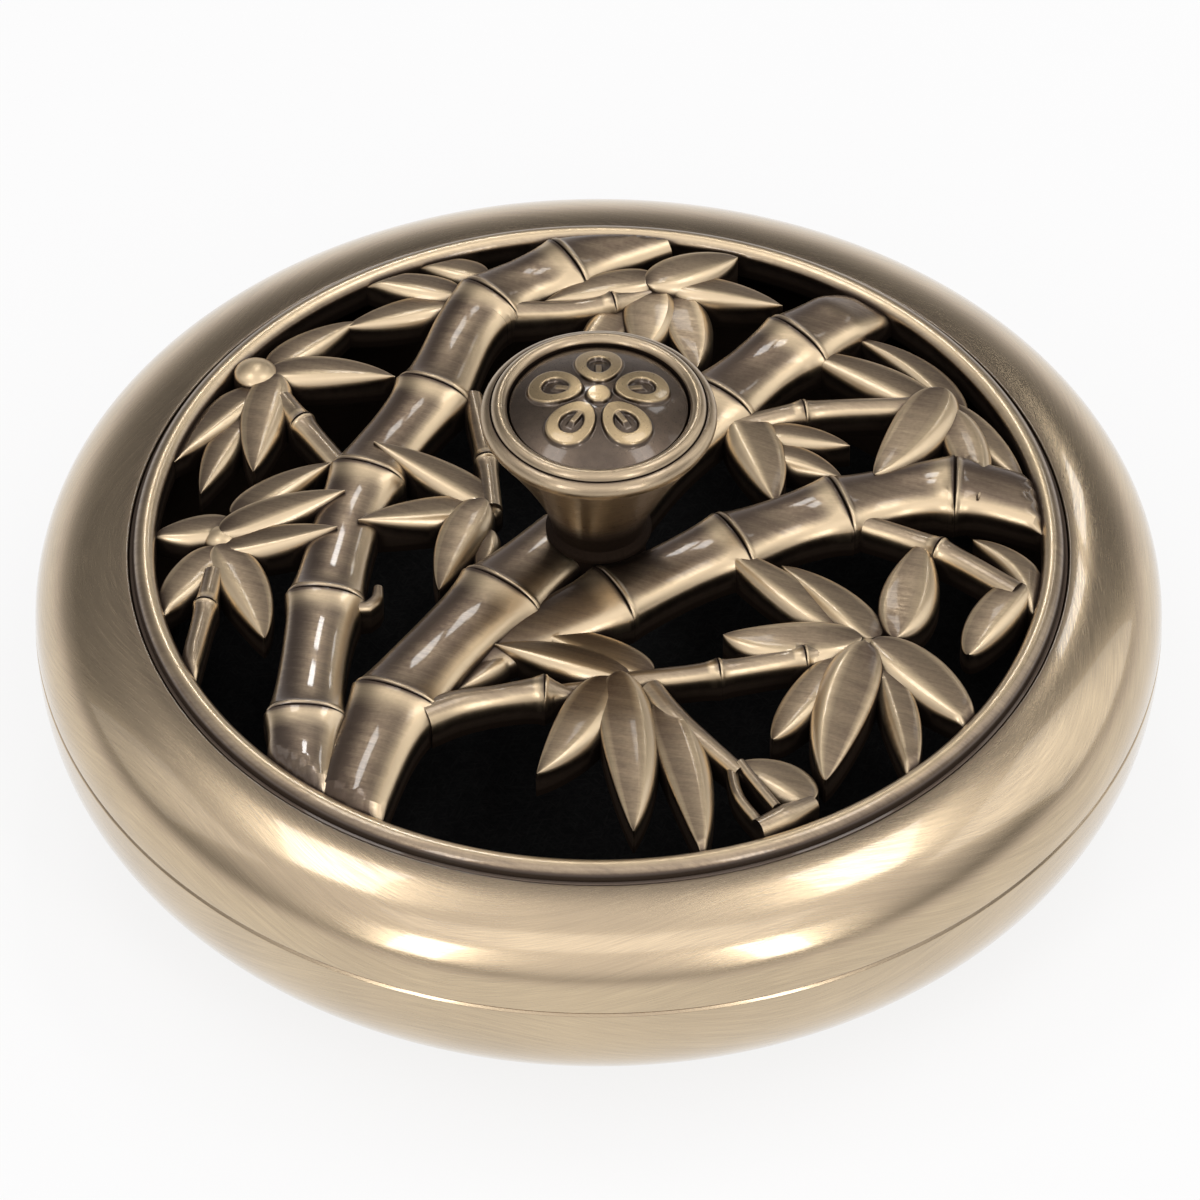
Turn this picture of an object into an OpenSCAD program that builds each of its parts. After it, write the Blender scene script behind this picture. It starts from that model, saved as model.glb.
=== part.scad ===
// Round incense burner for coils: a low bowl, a lid ring that carries a pierced
// bamboo casting, and a turned knob. Millimetres, +Z up, and the origin is at
// the centre of the face that it rests on.

/* [Body] */
// Diameter at the widest line
body_d = 120; // [116:1:150]
// Height of the widest line above the table
belly_h = 18.9; // [16:0.1:26]
// Height of the joint between bowl and lid above the widest line
seam_lift = 0.6; // [0.2:0.1:1.5]
// Height of the lid ring's highest circle above the widest line
crown_rise = 9.35; // [8:0.05:13]
// Thickness of the cast walls
wall = 2.4; // [1.8:0.1:3]
// Squareness of the lid's curve, where 2 is a plain ellipse
lid_curve = 2.54; // [2:0.01:3]
// Squareness of the bowl's curve
bowl_curve = 2.45; // [2:0.01:3]
// Half width of the fine V at the joint
seam_bevel = 0.3; // [0.1:0.05:0.5]

/* [Foot] */
// Outer diameter of the foot ring
foot_d = 72; // [56:1:90]
// Width of the foot ring
foot_w = 3.7; // [2:0.1:6]
// Height of the bowl's underside above the table
belly_gap = 1.5; // [1:0.1:4]
// How far the pad stands out below the foot ring
pad_proud = 0.6; // [0.2:0.1:1]
// Gap around the pad in its recess
pad_clear = 0.3; // [0.1:0.1:1]

/* [Fire mat] */
// Diameter of the mat
mat_d = 94; // [70:1:100]
// Thickness of the mat
mat_t = 3.5; // [2:0.1:6]
// Radius of the flat part of the bowl's floor
floor_r = 41; // [30:1:44]
// Radius of the rounding on the mat's upper edge
mat_round = 1; // [0.5:0.1:1.5]

/* [Lid joint] */
// Length of the lip that goes down into the bowl
spigot_l = 2.5; // [1.5:0.1:4]
// Thickness of that lip
spigot_t = 1.75; // [1.2:0.05:2.5]
// Gap between the lip and the bowl's wall
spigot_clear = 0.25; // [0.1:0.05:0.5]

/* [Pierced casting] */
// Clear diameter inside the casting's bead
opening_d = 93.8; // [76:0.2:94]
// Width of the bead
bead_w = 2.5; // [2:0.1:4]
// Height of the bead's top above the lid ring's highest circle
bead_rise = 0.65; // [0.2:0.05:1.5]
// Dark gap between the bead and the lid ring
bead_gap = 0.4; // [0.2:0.05:0.6]
// Width of the hidden flange beyond the bead
flange_w = 4.4; // [4:0.1:5]
// Thickness of the flange
flange_t = 1.2; // [1:0.1:2]
// Depth of the flange's seat below the lid ring's highest circle
seat_depth = 3.05; // [2.6:0.05:4]
// Gap around the flange
seat_clear = 0.2; // [0.1:0.05:0.4]
// Height of the bamboo's flat underside above the flange's seat
bamboo_lift = 0.8; // [0.4:0.1:1.2]
// Radius of a culm
culm_r = 3.7; // [3:0.1:4.5]
// How far a culm's top stands above the flat underside
culm_rise = 4.6; // [4.2:0.1:7]
// Radius of a twig
twig_r = 1.4; // [1:0.1:2]
// Thickness of a leaf at its edge
leaf_edge = 2.4; // [1.8:0.1:3]
// Height of a leaf's ridge above its edge
leaf_ridge = 1.2; // [0.6:0.1:1.6]
// How deep the bamboo's ends reach into the bead
root_depth = 1; // [0.6:0.1:1.4]
// Radius of the boss that the knob stands on
hub_r = 6.8; // [6:0.1:8]
// Height of the boss
hub_h = 4.5; // [3:0.1:6]

/* [Knob] */
// Diameter of the knob's rim
knob_d = 24.8; // [20:0.2:30]
// Height of the knob without its medallion
knob_h = 18.2; // [14:0.1:24]
// Diameter of the stem where it stands on the boss
stem_d = 11.2; // [9:0.1:12]
// Diameter of the recess for the medallion
recess_d = 19.1; // [16:0.1:20]
// Depth of that recess
recess_depth = 2.2; // [1.6:0.1:3]
// Gap around the medallion
medallion_clear = 0.1; // [0.05:0.05:0.3]
// Thickness of the medallion at its edge
medallion_edge = 1.4; // [0.8:0.1:2]
// Height of the medallion's dome
medallion_dome = 1.8; // [1:0.1:2.5]
// Height of the raised flower
flower_h = 0.5; // [0.3:0.1:0.8]

/* [Screws] */
// Diameter of the knob's screw
knob_screw_d = 4; // [3:0.5:5]
// How far it reaches into the knob
knob_screw_grip = 7; // [5:0.5:9]
// Thickness of the washer under its head
washer_t = 0.8; // [0.5:0.1:1.2]
// Diameter of the screws that hold the flange
small_screw_d = 2; // [1.6:0.2:2]
// How far they reach into the lid ring
small_screw_grip = 1.6; // [1.2:0.1:1.6]
// Number of flange screws
small_screw_n = 3; // [3:1:6]
// Gap between a screw and a hole that it passes through
screw_clear = 0.25; // [0.15:0.05:0.4]
// Gap between a screw and its thread
thread_clear = 0.05; // [0.02:0.01:0.08]

/* [Hidden] */
$fn = 96;

seam_h = belly_h + seam_lift;
crown_h = belly_h + crown_rise;
bead_top = crown_h + bead_rise;
seat_h = crown_h - seat_depth;
bamboo_h = seat_h + bamboo_lift;
body_r = body_d / 2;
opening_r = opening_d / 2;
foot_r = foot_d / 2;
floor_h = belly_gap + wall;
crown_r = opening_r - 1;
bead_r = opening_r + bead_w;
ring_edge_r = bead_r + bead_gap;
flange_r = bead_r + flange_w;
seat_r = flange_r + seat_clear;
pad_r = foot_r - foot_w - pad_clear;
pad_t = belly_gap;
cavity_r = body_r - wall;
spigot_r = cavity_r - spigot_clear;
hub_top = bamboo_h + hub_h;
knob_r = knob_d / 2;
knob_top = hub_top + knob_h;
recess_floor = knob_top - recess_depth;
medallion_r = recess_d / 2 - medallion_clear;
screw_ring_r = bead_r + flange_w / 2;
flange_under = seat_h - flange_t;
knob_hole_r = knob_screw_d / 2 + screw_clear;
curve_steps = 18;
far = 2 * body_d;
first_screw_angle = 30;
// How far the bamboo reaches below its underside before that face is cut.
cut_depth = 1;

// The bamboo is drawn for a clear opening of this radius, and scaled to the real one.
drawn_r = 47;
drawing_scale = opening_r / drawn_r;
culm_z = bamboo_h + culm_rise - culm_r;
twig_z = bamboo_h + 2.6;

// Each culm is given by its nodes, from one end to the other.
culms = [
    [[-31, -41], [-30.5, -26], [-28, -9], [-24.5, 9.5], [-20, 23.5], [-12, 37], [0, 48]],
    [[-26, -42], [-21.5, -22], [-10.5, -5.5], [-1, 7], [12, 21], [21.5, 30.5], [32, 37]],
    [[-6, -12.5], [2.5, -8.5], [14, -0.5], [26, 5], [39, 6], [48, 4.5]]
];

// Each twig is given by the points where it bends.
twigs = [
    [[-33, 20], [-27, 10]],
    [[-41, -6], [-42, -11], [-43, -20]],
    [[-13.5, 20], [-12, 12], [-11.5, 3]],
    [[-9, 35.5], [0, 37], [6, 39]],
    [[14, 17], [22, 19.5], [33, 20.5]],
    [[-18, -26], [-6, -22.5], [2, -21], [12.5, -20], [26, -17]],
    [[6, -24], [14, -34], [18, -40]],
    [[26, 3], [35, -1.5], [43.5, -7.5]]
];

// Each leaf runs from its base to its tip, and the last number is its width.
leaves = [
    [[-35.5, 25], [-22.5, 25], 5], [[-34.5, 26], [-25, 35], 4.5], [[-16, 37], [-28, 32.5], 4.5],
    [[-37, 22.5], [-45, 12], 5], [[-37.5, 21.5], [-42, 7.5], 4.5], [[-34.5, 24.5], [-36.5, 10], 5],
    [[-15.5, 38], [-26, 41], 4.5], [[-12, 42], [-20, 43], 4],
    [[-39.5, 0.5], [-27, 6.5], 4.5], [[-39.5, -1], [-27, 1], 4], [[-38.5, 3], [-28, 11], 5],
    [[-38.5, 1.5], [-47, 1], 4.5], [[-40.5, -2], [-46.5, -12], 4.5], [[-40, -1.5], [-35, -15], 5],
    [[-10.5, 6], [-24.5, 12.5], 5], [[-11.5, 5], [-26, 0.5], 5], [[-13, 5.5], [-16.5, -8], 4.5],
    [[6.5, 39.5], [-6, 36.5], 4.5], [[5.5, 39], [15, 43.5], 5], [[8, 39.5], [19.5, 35.5], 4.5],
    [[5, 38.5], [4.5, 28], 5.5], [[8.5, 37.5], [10.5, 26], 5],
    [[35.5, 20], [21.5, 28.5], 5], [[36.5, 19.5], [28, 31.5], 4], [[36, 21.5], [29, 8.5], 6],
    [[36.5, 20.5], [45.5, 8], 5], [[36.5, 17], [40, 4.5], 4.5],
    [[15.5, 19], [18.5, 5.5], 5], [[17.5, 16.5], [26.5, 14.5], 4.5], [[18, 14.5], [25.5, 9], 4],
    [[3, -21], [-11, -16.5], 4.5], [[4.5, -19], [-7, -13.5], 4.5], [[0, -21.5], [-6, -35], 5.5],
    [[2, -20.5], [3, -43], 6], [[7, -24], [10.5, -46.5], 5],
    [[28, -16.5], [13, -16], 5.5], [[27.5, -14.5], [19, -4.5], 4.5], [[29, -16], [33.5, 1.5], 5.5],
    [[28, -15.5], [38.5, -28], 5.5], [[28, -16.5], [23, -37.5], 5.5],
    [[27, -16.5], [18, -30], 4.5], [[29.5, -17], [32, -35.5], 4],
    [[11, -1], [24, -12.5], 4.5], [[40, 0.5], [46, -10], 4], [[45, -7], [39, -17.5], 5],
    [[12, -34], [23, -38.5], 5]
];

// Small buds and the hearts of the leaf sprays.
buds = [[-36.5, 25.5], [-39.5, 0], [-12, 5.5], [6.5, 39], [36.5, 20], [15.5, 18], [2, -21],
        [28, -16.5], [17.5, -41.5], [-24, -9.5]];

// Quarter of a superellipse between a flat end at r_flat and an upright end at r_upright.
function quarter(r_flat, z_flat, r_upright, z_upright, power) = [
    for (i = [0:curve_steps])
        let (turn = 90 * i / curve_steps)
        [r_flat + (r_upright - r_flat) * pow(sin(turn), 2 / power),
         z_upright + (z_flat - z_upright) * pow(cos(turn), 2 / power)]
];

function backwards(list) = [for (i = [len(list) - 1:-1:0]) list[i]];

// Arc of a profile about a centre, from one angle to another.
function arc(centre, radius, from, to, steps) = [
    for (i = [0:steps])
        let (turn = from + (to - from) * i / steps)
        centre + radius * [cos(turn), sin(turn)]
];

// Half section of the closed burner's outside, filled to the axis.
module outside_section() {
    upper = quarter(crown_r, crown_h, body_r, belly_h, lid_curve);
    lower = quarter(foot_r, belly_gap, body_r, belly_h, bowl_curve);
    polygon(concat([[0, belly_gap]], lower, backwards(upper), [[0, crown_h]]));
}

// Half section of the space inside, from the floor to the underside of the lid.
module cavity_section() {
    upper = quarter(crown_r, crown_h - wall, cavity_r, belly_h, lid_curve);
    lower = quarter(floor_r, floor_h, cavity_r, belly_h, bowl_curve);
    polygon(concat([[0, floor_h]], lower, backwards(upper), [[0, crown_h - wall]]));
}

module seam_groove() {
    reach = 1;
    polygon([[body_r - seam_bevel, seam_h], [body_r + reach, seam_h - seam_bevel - reach],
             [body_r + reach, seam_h + seam_bevel + reach]]);
}

module base_bowl() {
    color("darkkhaki")
    rotate_extrude()
    difference() {
        union() {
            intersection() {
                outside_section();
                square([far, seam_h]);
            }
            translate([0, pad_proud]) square([foot_r, belly_gap - pad_proud + wall / 2]);
        }
        cavity_section();
        translate([0, belly_h]) square([cavity_r, far]);
        square([pad_r + pad_clear, pad_t]);
        seam_groove();
    }
}

module base_pad() {
    edge = 0.3;
    color("dimgray")
    rotate_extrude()
    polygon([[0, 0], [pad_r - edge, 0], [pad_r, edge], [pad_r, pad_t], [0, pad_t]]);
}

module fire_mat() {
    lift = 0.8;
    mat_r = mat_d / 2;
    top = floor_h + mat_t;
    color("black")
    rotate_extrude()
    polygon(concat([[0, floor_h], [floor_r, floor_h], [mat_r, floor_h + lift]],
                   arc([mat_r - mat_round, top - mat_round], mat_round, 0, 90, 5), [[0, top]]));
}

module lid_ring() {
    blind = small_screw_grip + 0.2;
    shoulder = 3;
    color("darkkhaki")
    difference() {
        rotate_extrude()
        difference() {
            union() {
                difference() {
                    intersection() {
                        outside_section();
                        translate([ring_edge_r, seam_h]) square([far, far]);
                    }
                    intersection() {
                        cavity_section();
                        square([far, seat_h]);
                    }
                }
                translate([spigot_r - spigot_t, seam_h - spigot_l])
                square([spigot_t, spigot_l + shoulder]);
                translate([spigot_r - spigot_t, seam_h])
                square([spigot_t + wall / 2, shoulder]);
            }
            square([seat_r, seat_h]);
            seam_groove();
        }
        at_flange_screws(seat_h - 1)
        cylinder(h = blind + 1, r = small_screw_d / 2 + thread_clear);
    }
}

module at_flange_screws(z) {
    for (i = [0:small_screw_n - 1])
        rotate(first_screw_angle + 360 * i / small_screw_n)
        translate([screw_ring_r, 0, z])
        children();
}

// Section of the bead with its rounded top, and of the flange under the lid ring.
module bead_section() {
    slope = 0.45;
    lower_edge = bamboo_h - 0.2;
    middle = opening_r + bead_w / 2;
    crest = bead_top - bead_w / 2;
    neck_r = opening_r + 1.5;
    polygon(concat(arc([middle, crest], bead_w / 2, 0, 180, 8),
                   [[opening_r, lower_edge], [neck_r, lower_edge - slope], [neck_r, flange_under],
                    [flange_r, flange_under], [flange_r, seat_h], [bead_r, seat_h]]));
}

// One internode of a culm, with the raised ring of its node at the far end.
module internode(from, to) {
    hull() {
        translate([from[0], from[1], culm_z]) sphere(culm_r, $fn = 12);
        translate([to[0], to[1], culm_z]) sphere(culm_r, $fn = 12);
    }
}

module node_ring(at, before, after) {
    ring_w = 0.9;
    ring_rise = 0.5;
    way = after - before;
    translate([at[0], at[1], culm_z])
    rotate([0, 90, atan2(way[1], way[0])])
    cylinder(h = ring_w, r = culm_r + ring_rise, center = true, $fn = 16);
}

module culm(points) {
    for (i = [1:len(points) - 1]) internode(points[i - 1], points[i]);
    for (i = [1:len(points) - 2]) node_ring(points[i], points[i - 1], points[i + 1]);
}

module twig(points) {
    for (i = [1:len(points) - 1])
        hull()
        for (p = [points[i - 1], points[i]])
            translate([p[0], p[1], twig_z]) sphere(twig_r, $fn = 8);
}

// A leaf is a pointed oval with a ridge from its base to its tip.
module leaf(base, tip, width) {
    ridge_w = 0.2;
    ridge_from = 0.12;
    ridge_part = 0.7;
    way = tip - base;
    long = norm(way);
    side_r = (long * long + width * width) / (4 * width);
    translate([base[0], base[1], bamboo_h - cut_depth])
    rotate(atan2(way[1], way[0]))
    hull() {
        linear_extrude(leaf_edge + cut_depth)
        intersection_for (side = [-1, 1])
            translate([long / 2, side * (side_r - width / 2)]) circle(side_r, $fn = 28);
        translate([long * ridge_from, -ridge_w / 2, 0])
        cube([long * ridge_part, ridge_w, leaf_edge + leaf_ridge + cut_depth]);
    }
}

module bud(at) {
    bud_r = 2.2;
    bud_h = 3.2;
    translate([at[0], at[1], bamboo_h - cut_depth])
    cylinder(h = bud_h + cut_depth, r = bud_r, $fn = 12);
}

// The culms, twigs, leaves and buds, with room for the knob's stem above the boss.
module bamboo() {
    stem_room = 0.6;
    overlap = 0.5;
    difference() {
        scale([drawing_scale, drawing_scale, 1]) {
            for (points = culms) culm(points);
            for (points = twigs) twig(points);
            for (l = leaves) leaf(l[0], l[1], l[2]);
            for (at = buds) bud(at);
        }
        translate([0, 0, hub_top - overlap])
        cylinder(h = far, r = stem_d / 2 + stem_room, $fn = 32);
    }
}

// All of it reaches below its underside at first, and one flat cut then makes that face.
module bamboo_casting() {
    corner_turn = 1.3;
    color("tan")
    difference() {
        union() {
            rotate_extrude($fn = 72) bead_section();
            intersection() {
                union() {
                    bamboo();
                    translate([0, 0, bamboo_h - cut_depth])
                    cylinder(h = hub_h + cut_depth, r = hub_r, $fn = 32);
                }
                translate([0, 0, bamboo_h])
                rotate(corner_turn)
                cylinder(h = far, r = opening_r + root_depth, $fn = 64);
            }
        }
        cylinder(h = far, r = knob_hole_r, $fn = 32);
        at_flange_screws(0) cylinder(h = far, r = small_screw_d / 2 + screw_clear, $fn = 16);
    }
}

// Pan head screw with a cross recess, standing on its head, threads up.
module screw(d, grip, head_d, head_t) {
    slot = d / 4;
    depth = head_t / 2;
    difference() {
        rotate_extrude()
        polygon([[0, 0], [head_d / 2 - 0.3, 0], [head_d / 2, 0.4], [head_d / 2, head_t],
                 [d / 2, head_t], [d / 2, head_t + grip - 0.3], [d / 2 - 0.3, head_t + grip],
                 [0, head_t + grip]]);
        for (turn = [0, 90])
            rotate(turn) translate([-head_d / 3, -slot / 2, -1])
            cube([head_d * 2 / 3, slot, depth + 1]);
    }
}

module flange_screws() {
    head_t = 1.4;
    color("dimgray")
    at_flange_screws(flange_under - head_t)
    screw(small_screw_d, flange_t + small_screw_grip, small_screw_d * 1.8, head_t);
}

// Knob turned with a flared stem, a rounded rim, a fine groove and a raised bead.
module knob_body() {
    stem_r = stem_d / 2;
    recess_r = recess_d / 2;
    rim_z = knob_top - 1.4;
    rim_w = 1.1;
    groove_r = knob_r - rim_w;
    lip_w = groove_r - recess_r;
    bore_r = knob_screw_d / 2 + thread_clear;
    bore_top = hub_top + knob_screw_grip + 1;
    flare = [for (i = [0:10])
             let (up = i / 10)
             [stem_r - 0.6 + (knob_r - rim_w / 2 - stem_r + 0.6) * pow(up, 1.35),
              hub_top + 1.2 + (rim_z - 1.6 - hub_top - 1.2) * up]];
    rim = arc([groove_r, rim_z - 0.4], rim_w, -40, 80, 6);
    lip = arc([recess_r + lip_w / 2, knob_top - lip_w / 2], lip_w / 2, 0, 180, 8);
    color("darkkhaki")
    rotate_extrude()
    polygon(concat([[bore_r, hub_top], [stem_r, hub_top], [stem_r, hub_top + 0.5]], flare, rim,
                   [[groove_r, rim_z - 0.2]], lip,
                   [[recess_r, recess_floor], [0, recess_floor], [0, bore_top], [bore_r, bore_top]]));
}

// Domed disc with a plain raised flower of five petals.
module knob_medallion() {
    dome_r = (medallion_r * medallion_r + medallion_dome * medallion_dome) / (2 * medallion_dome);
    edge_z = recess_floor + medallion_edge;
    dome_z = edge_z + medallion_dome - dome_r;
    heart_r = 1.6;
    petal_r = 1.9;
    petal_way = 4.4;
    petals = 5;
    color("gray")
    union() {
        intersection() {
            translate([0, 0, recess_floor]) cylinder(h = far, r = medallion_r);
            translate([0, 0, dome_z]) sphere(dome_r);
        }
        intersection() {
            translate([0, 0, dome_z]) sphere(dome_r + flower_h);
            translate([0, 0, recess_floor + 0.1])
            union() {
                cylinder(h = far, r = heart_r);
                for (i = [0:petals - 1])
                    rotate(90 + 360 * i / petals)
                    translate([petal_way, 0, 0])
                    cylinder(h = far, r = petal_r);
            }
        }
    }
}

module knob_screw() {
    head_t = 2.2;
    color("dimgray")
    translate([0, 0, bamboo_h - washer_t - head_t])
    screw(knob_screw_d, washer_t + hub_h + knob_screw_grip, knob_screw_d * 1.9, head_t);
}

module knob_washer() {
    color("silver")
    translate([0, 0, bamboo_h - washer_t])
    rotate_extrude()
    translate([knob_hole_r, 0]) square([knob_screw_d * 1.1 - knob_hole_r, washer_t]);
}

base_bowl();
base_pad();
fire_mat();
lid_ring();
bamboo_casting();
flange_screws();
knob_body();
knob_medallion();
knob_screw();
knob_washer();
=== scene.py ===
# %% [markdown]
# # A coil incense burner in antiqued brass
# The burner is a low bowl with a rounded lid ring. Inside the ring sits one pierced
# casting of bamboo, and a turned knob stands on it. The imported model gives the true
# size and place of every piece, and this script gives them their finished shapes and
# surfaces. Lengths are written in millimetres and turned into metres by `mm`.

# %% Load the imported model
import math

import bmesh
import bpy
import numpy as np
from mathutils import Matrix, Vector


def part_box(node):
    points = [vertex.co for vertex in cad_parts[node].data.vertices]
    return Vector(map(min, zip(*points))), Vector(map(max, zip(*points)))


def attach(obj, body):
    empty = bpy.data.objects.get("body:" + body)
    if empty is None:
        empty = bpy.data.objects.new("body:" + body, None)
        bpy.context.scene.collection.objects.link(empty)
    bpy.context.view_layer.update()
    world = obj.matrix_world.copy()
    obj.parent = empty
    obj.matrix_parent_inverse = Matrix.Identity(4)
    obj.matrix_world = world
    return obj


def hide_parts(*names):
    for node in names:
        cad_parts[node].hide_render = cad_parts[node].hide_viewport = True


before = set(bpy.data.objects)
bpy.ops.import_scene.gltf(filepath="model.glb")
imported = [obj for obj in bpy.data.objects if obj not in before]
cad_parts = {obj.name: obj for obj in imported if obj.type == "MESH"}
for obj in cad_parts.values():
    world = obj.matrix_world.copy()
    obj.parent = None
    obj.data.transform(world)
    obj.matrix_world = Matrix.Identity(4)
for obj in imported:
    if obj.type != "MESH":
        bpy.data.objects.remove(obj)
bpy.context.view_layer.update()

mm = 0.001               # one millimetre, in metres


def span(node):
    """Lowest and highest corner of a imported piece, in millimetres."""
    low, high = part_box(node)
    return np.array(low) / mm, np.array(high) / mm


# %% [markdown]
# ## The camera
# The photograph looks down at about 45 degrees with a long lens from nearly a metre
# away, so that far and near sides have almost the same scale. A look-at point and a
# distance are easier to keep true than a typed rotation, so the camera is placed by
# those, and a very small shift sets the object where the photograph has it.

# %% Place the camera
look_at = Vector((0, 0, 21.5)) * mm
camera_elevation = math.radians(44.568)
camera_distance = 960 * mm

camera_data = bpy.data.cameras.new("photo_view")
camera_data.lens = 270.6
camera_data.sensor_width = 36
camera_data.shift_x = 0.0011
camera_data.shift_y = -0.0099
camera_data.clip_start = 0.05
camera = bpy.data.objects.new("photo_view", camera_data)
bpy.context.scene.collection.objects.link(camera)
away = Vector((0, -math.cos(camera_elevation), math.sin(camera_elevation)))
camera.location = look_at + away * camera_distance
camera.rotation_euler = (-away).to_track_quat("-Z", "Y").to_euler()
bpy.context.scene.camera = camera
print("camera at", [round(v, 4) for v in camera.location])

# %% [markdown]
# ## The light
# Polished metal shows the room more than it shows its own colour. A product table has
# a pale floor, a bright horizon, and softboxes that leave long soft streaks on round
# shapes. The room is a gradient in the world, and each softbox is an area lamp, given
# by its direction, its size in degrees and its brightness, because that is how a
# photographer thinks of one.

# %% Build the light
scene = bpy.context.scene
scene.view_settings.view_transform = "Standard"


def add(tree, kind, inputs=None, **settings):
    """A shader node with its settings, and with its inputs linked or filled in."""
    made = tree.nodes.new(kind)
    for key, value in settings.items():
        setattr(made, key, value)
    for key, value in (inputs or {}).items():
        if isinstance(value, bpy.types.NodeSocket):
            tree.links.new(value, made.inputs[key])
        else:
            made.inputs[key].default_value = value
    return made


def grey(tree, kind, a, b, **settings):
    """A Math node on two values."""
    return add(tree, "ShaderNodeMath", {0: a, 1: b}, operation=kind, **settings).outputs[0]


def softbox(name, towards, wide, tall, brightness, distance=600 * mm):
    """A rectangular lamp in a direction from the object, with its angles in degrees.

    A lamp of power P and area A shines at P / (pi A), so P = brightness pi A.
    """
    direction = Vector(towards).normalized()
    lamp = bpy.data.lights.new(name, "AREA")
    lamp.shape = "RECTANGLE"
    lamp.size = 2 * distance * math.tan(math.radians(wide) / 2)
    lamp.size_y = 2 * distance * math.tan(math.radians(tall) / 2)
    lamp.energy = brightness * math.pi * lamp.size * lamp.size_y
    placed = bpy.data.objects.new(name, lamp)
    placed.location = look_at + direction * distance
    placed.rotation_euler = (-direction).to_track_quat("-Z", "Y").to_euler()
    scene.collection.objects.link(placed)
    return placed


for side in (-1, 1):
    softbox(f"front_{side}", (0.46 * side, -0.72, 0.52), 9, 28, 5.0)
    softbox(f"over_{side}", (0.33 * side, 0.17, 0.92), 24, 9, 4.0)
softbox("right_side", (0.78, 0.25, 0.58), 34, 40, 1.0)
softbox("left_side", (-0.80, 0.10, 0.58), 26, 30, 0.5)
softbox("overhead", (0, -0.42, 0.91), 50, 22, 0.5)
panes = [(-0.05, 0.64, 0.77), (-0.05, 0.74, 0.67), (0.33, 0.64, 0.69), (0.35, 0.73, 0.59)]
for i, towards in enumerate(panes):
    softbox(f"back_pane_{i}", towards, 3.6, 6.0, 14.0 if i < 2 else 4.5)   # the right pair is dimmer

world = bpy.data.worlds.new("studio")
scene.world = world
world.use_nodes = True
room = world.node_tree
room.nodes.clear()
direction = add(room, "ShaderNodeTexCoord").outputs["Generated"]
axes = add(room, "ShaderNodeSeparateXYZ", {0: direction})


def levels(value, stops):
    """A ramp of greys over a value, very slightly violet."""
    made = add(room, "ShaderNodeValToRGB", {0: value})
    stripes = made.color_ramp.elements
    stripes[0].position = stops[0][0]
    stripes[1].position = stops[-1][0]
    for place, _ in stops[1:-1]:
        stripes.new(place)
    for stripe, (_, level) in zip(stripes, stops):
        stripe.color = (level, level * 0.98, level, 1)
    return made.outputs["Color"]


horizon = levels(axes.outputs["Z"], [(0.0, 0.95), (0.12, 0.75), (0.28, 0.36), (0.5, 0.10)])
front = add(room, "ShaderNodeVectorMath", {0: direction, 1: (0, -0.42, 0.91)}, operation="DOT_PRODUCT")
overhead = levels(front.outputs["Value"],
                  [(0.18, 0.16), (0.42, 0.22), (0.66, 0.62), (0.82, 0.92), (1.0, 1.0)])
both_ways = add(room, "ShaderNodeVectorMath", {0: horizon, 1: overhead}, operation="MAXIMUM")
sky = add(room, "ShaderNodeBackground", {"Color": both_ways.outputs[0], "Strength": 1.0})
add(room, "ShaderNodeOutputWorld", {"Surface": sky.outputs[0]})

# %% [markdown]
# ## The table
# The table is plain and pale. Its colour is given by the shader itself for rays from
# the camera and from reflections, mixed with some true shading, so that the object
# keeps a soft shadow and no extra light is needed to make the table white.

# %% Build the table
table_mesh = bpy.data.meshes.new("table")
half_table = 2.5
corners = [(-half_table, -half_table, 0), (half_table, -half_table, 0),
           (half_table, half_table, 0), (-half_table, half_table, 0)]
table_mesh.from_pydata(corners, [], [(0, 1, 2, 3)])
table = bpy.data.objects.new("table", table_mesh)
scene.collection.objects.link(table)

pale = bpy.data.materials.new("pale_table")
pale.use_nodes = True
tree = pale.node_tree
tree.nodes.clear()
shaded = add(tree, "ShaderNodeBsdfDiffuse", {"Color": (0.82, 0.82, 0.82, 1)})
white = add(tree, "ShaderNodeEmission", {"Color": (1, 1, 1, 1), "Strength": 1.0})
rays = add(tree, "ShaderNodeLightPath")
seen = grey(tree, "ADD", rays.outputs["Is Camera Ray"], rays.outputs["Is Glossy Ray"])
seen = grey(tree, "ADD", seen, rays.outputs["Is Transmission Ray"], use_clamp=True)
share = grey(tree, "MULTIPLY", seen, 0.82)
floor_shader = add(tree, "ShaderNodeMixShader", {0: share, 1: shaded.outputs[0], 2: white.outputs[0]})
add(tree, "ShaderNodeOutputMaterial", {"Surface": floor_shader.outputs[0]})
table_mesh.materials.append(pale)

# %% [markdown]
# ## Surfaces from grids
# Every new piece here is a grid of points: one direction runs along the piece and the
# other closes round it. A turned piece is an outline carried round the axis, and a
# bamboo cane is a D-shaped ring carried along a line. One helper turns such a grid
# into a mesh. It joins the points that fall together at a pole, closes open ends and
# turns all faces outwards.

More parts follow.
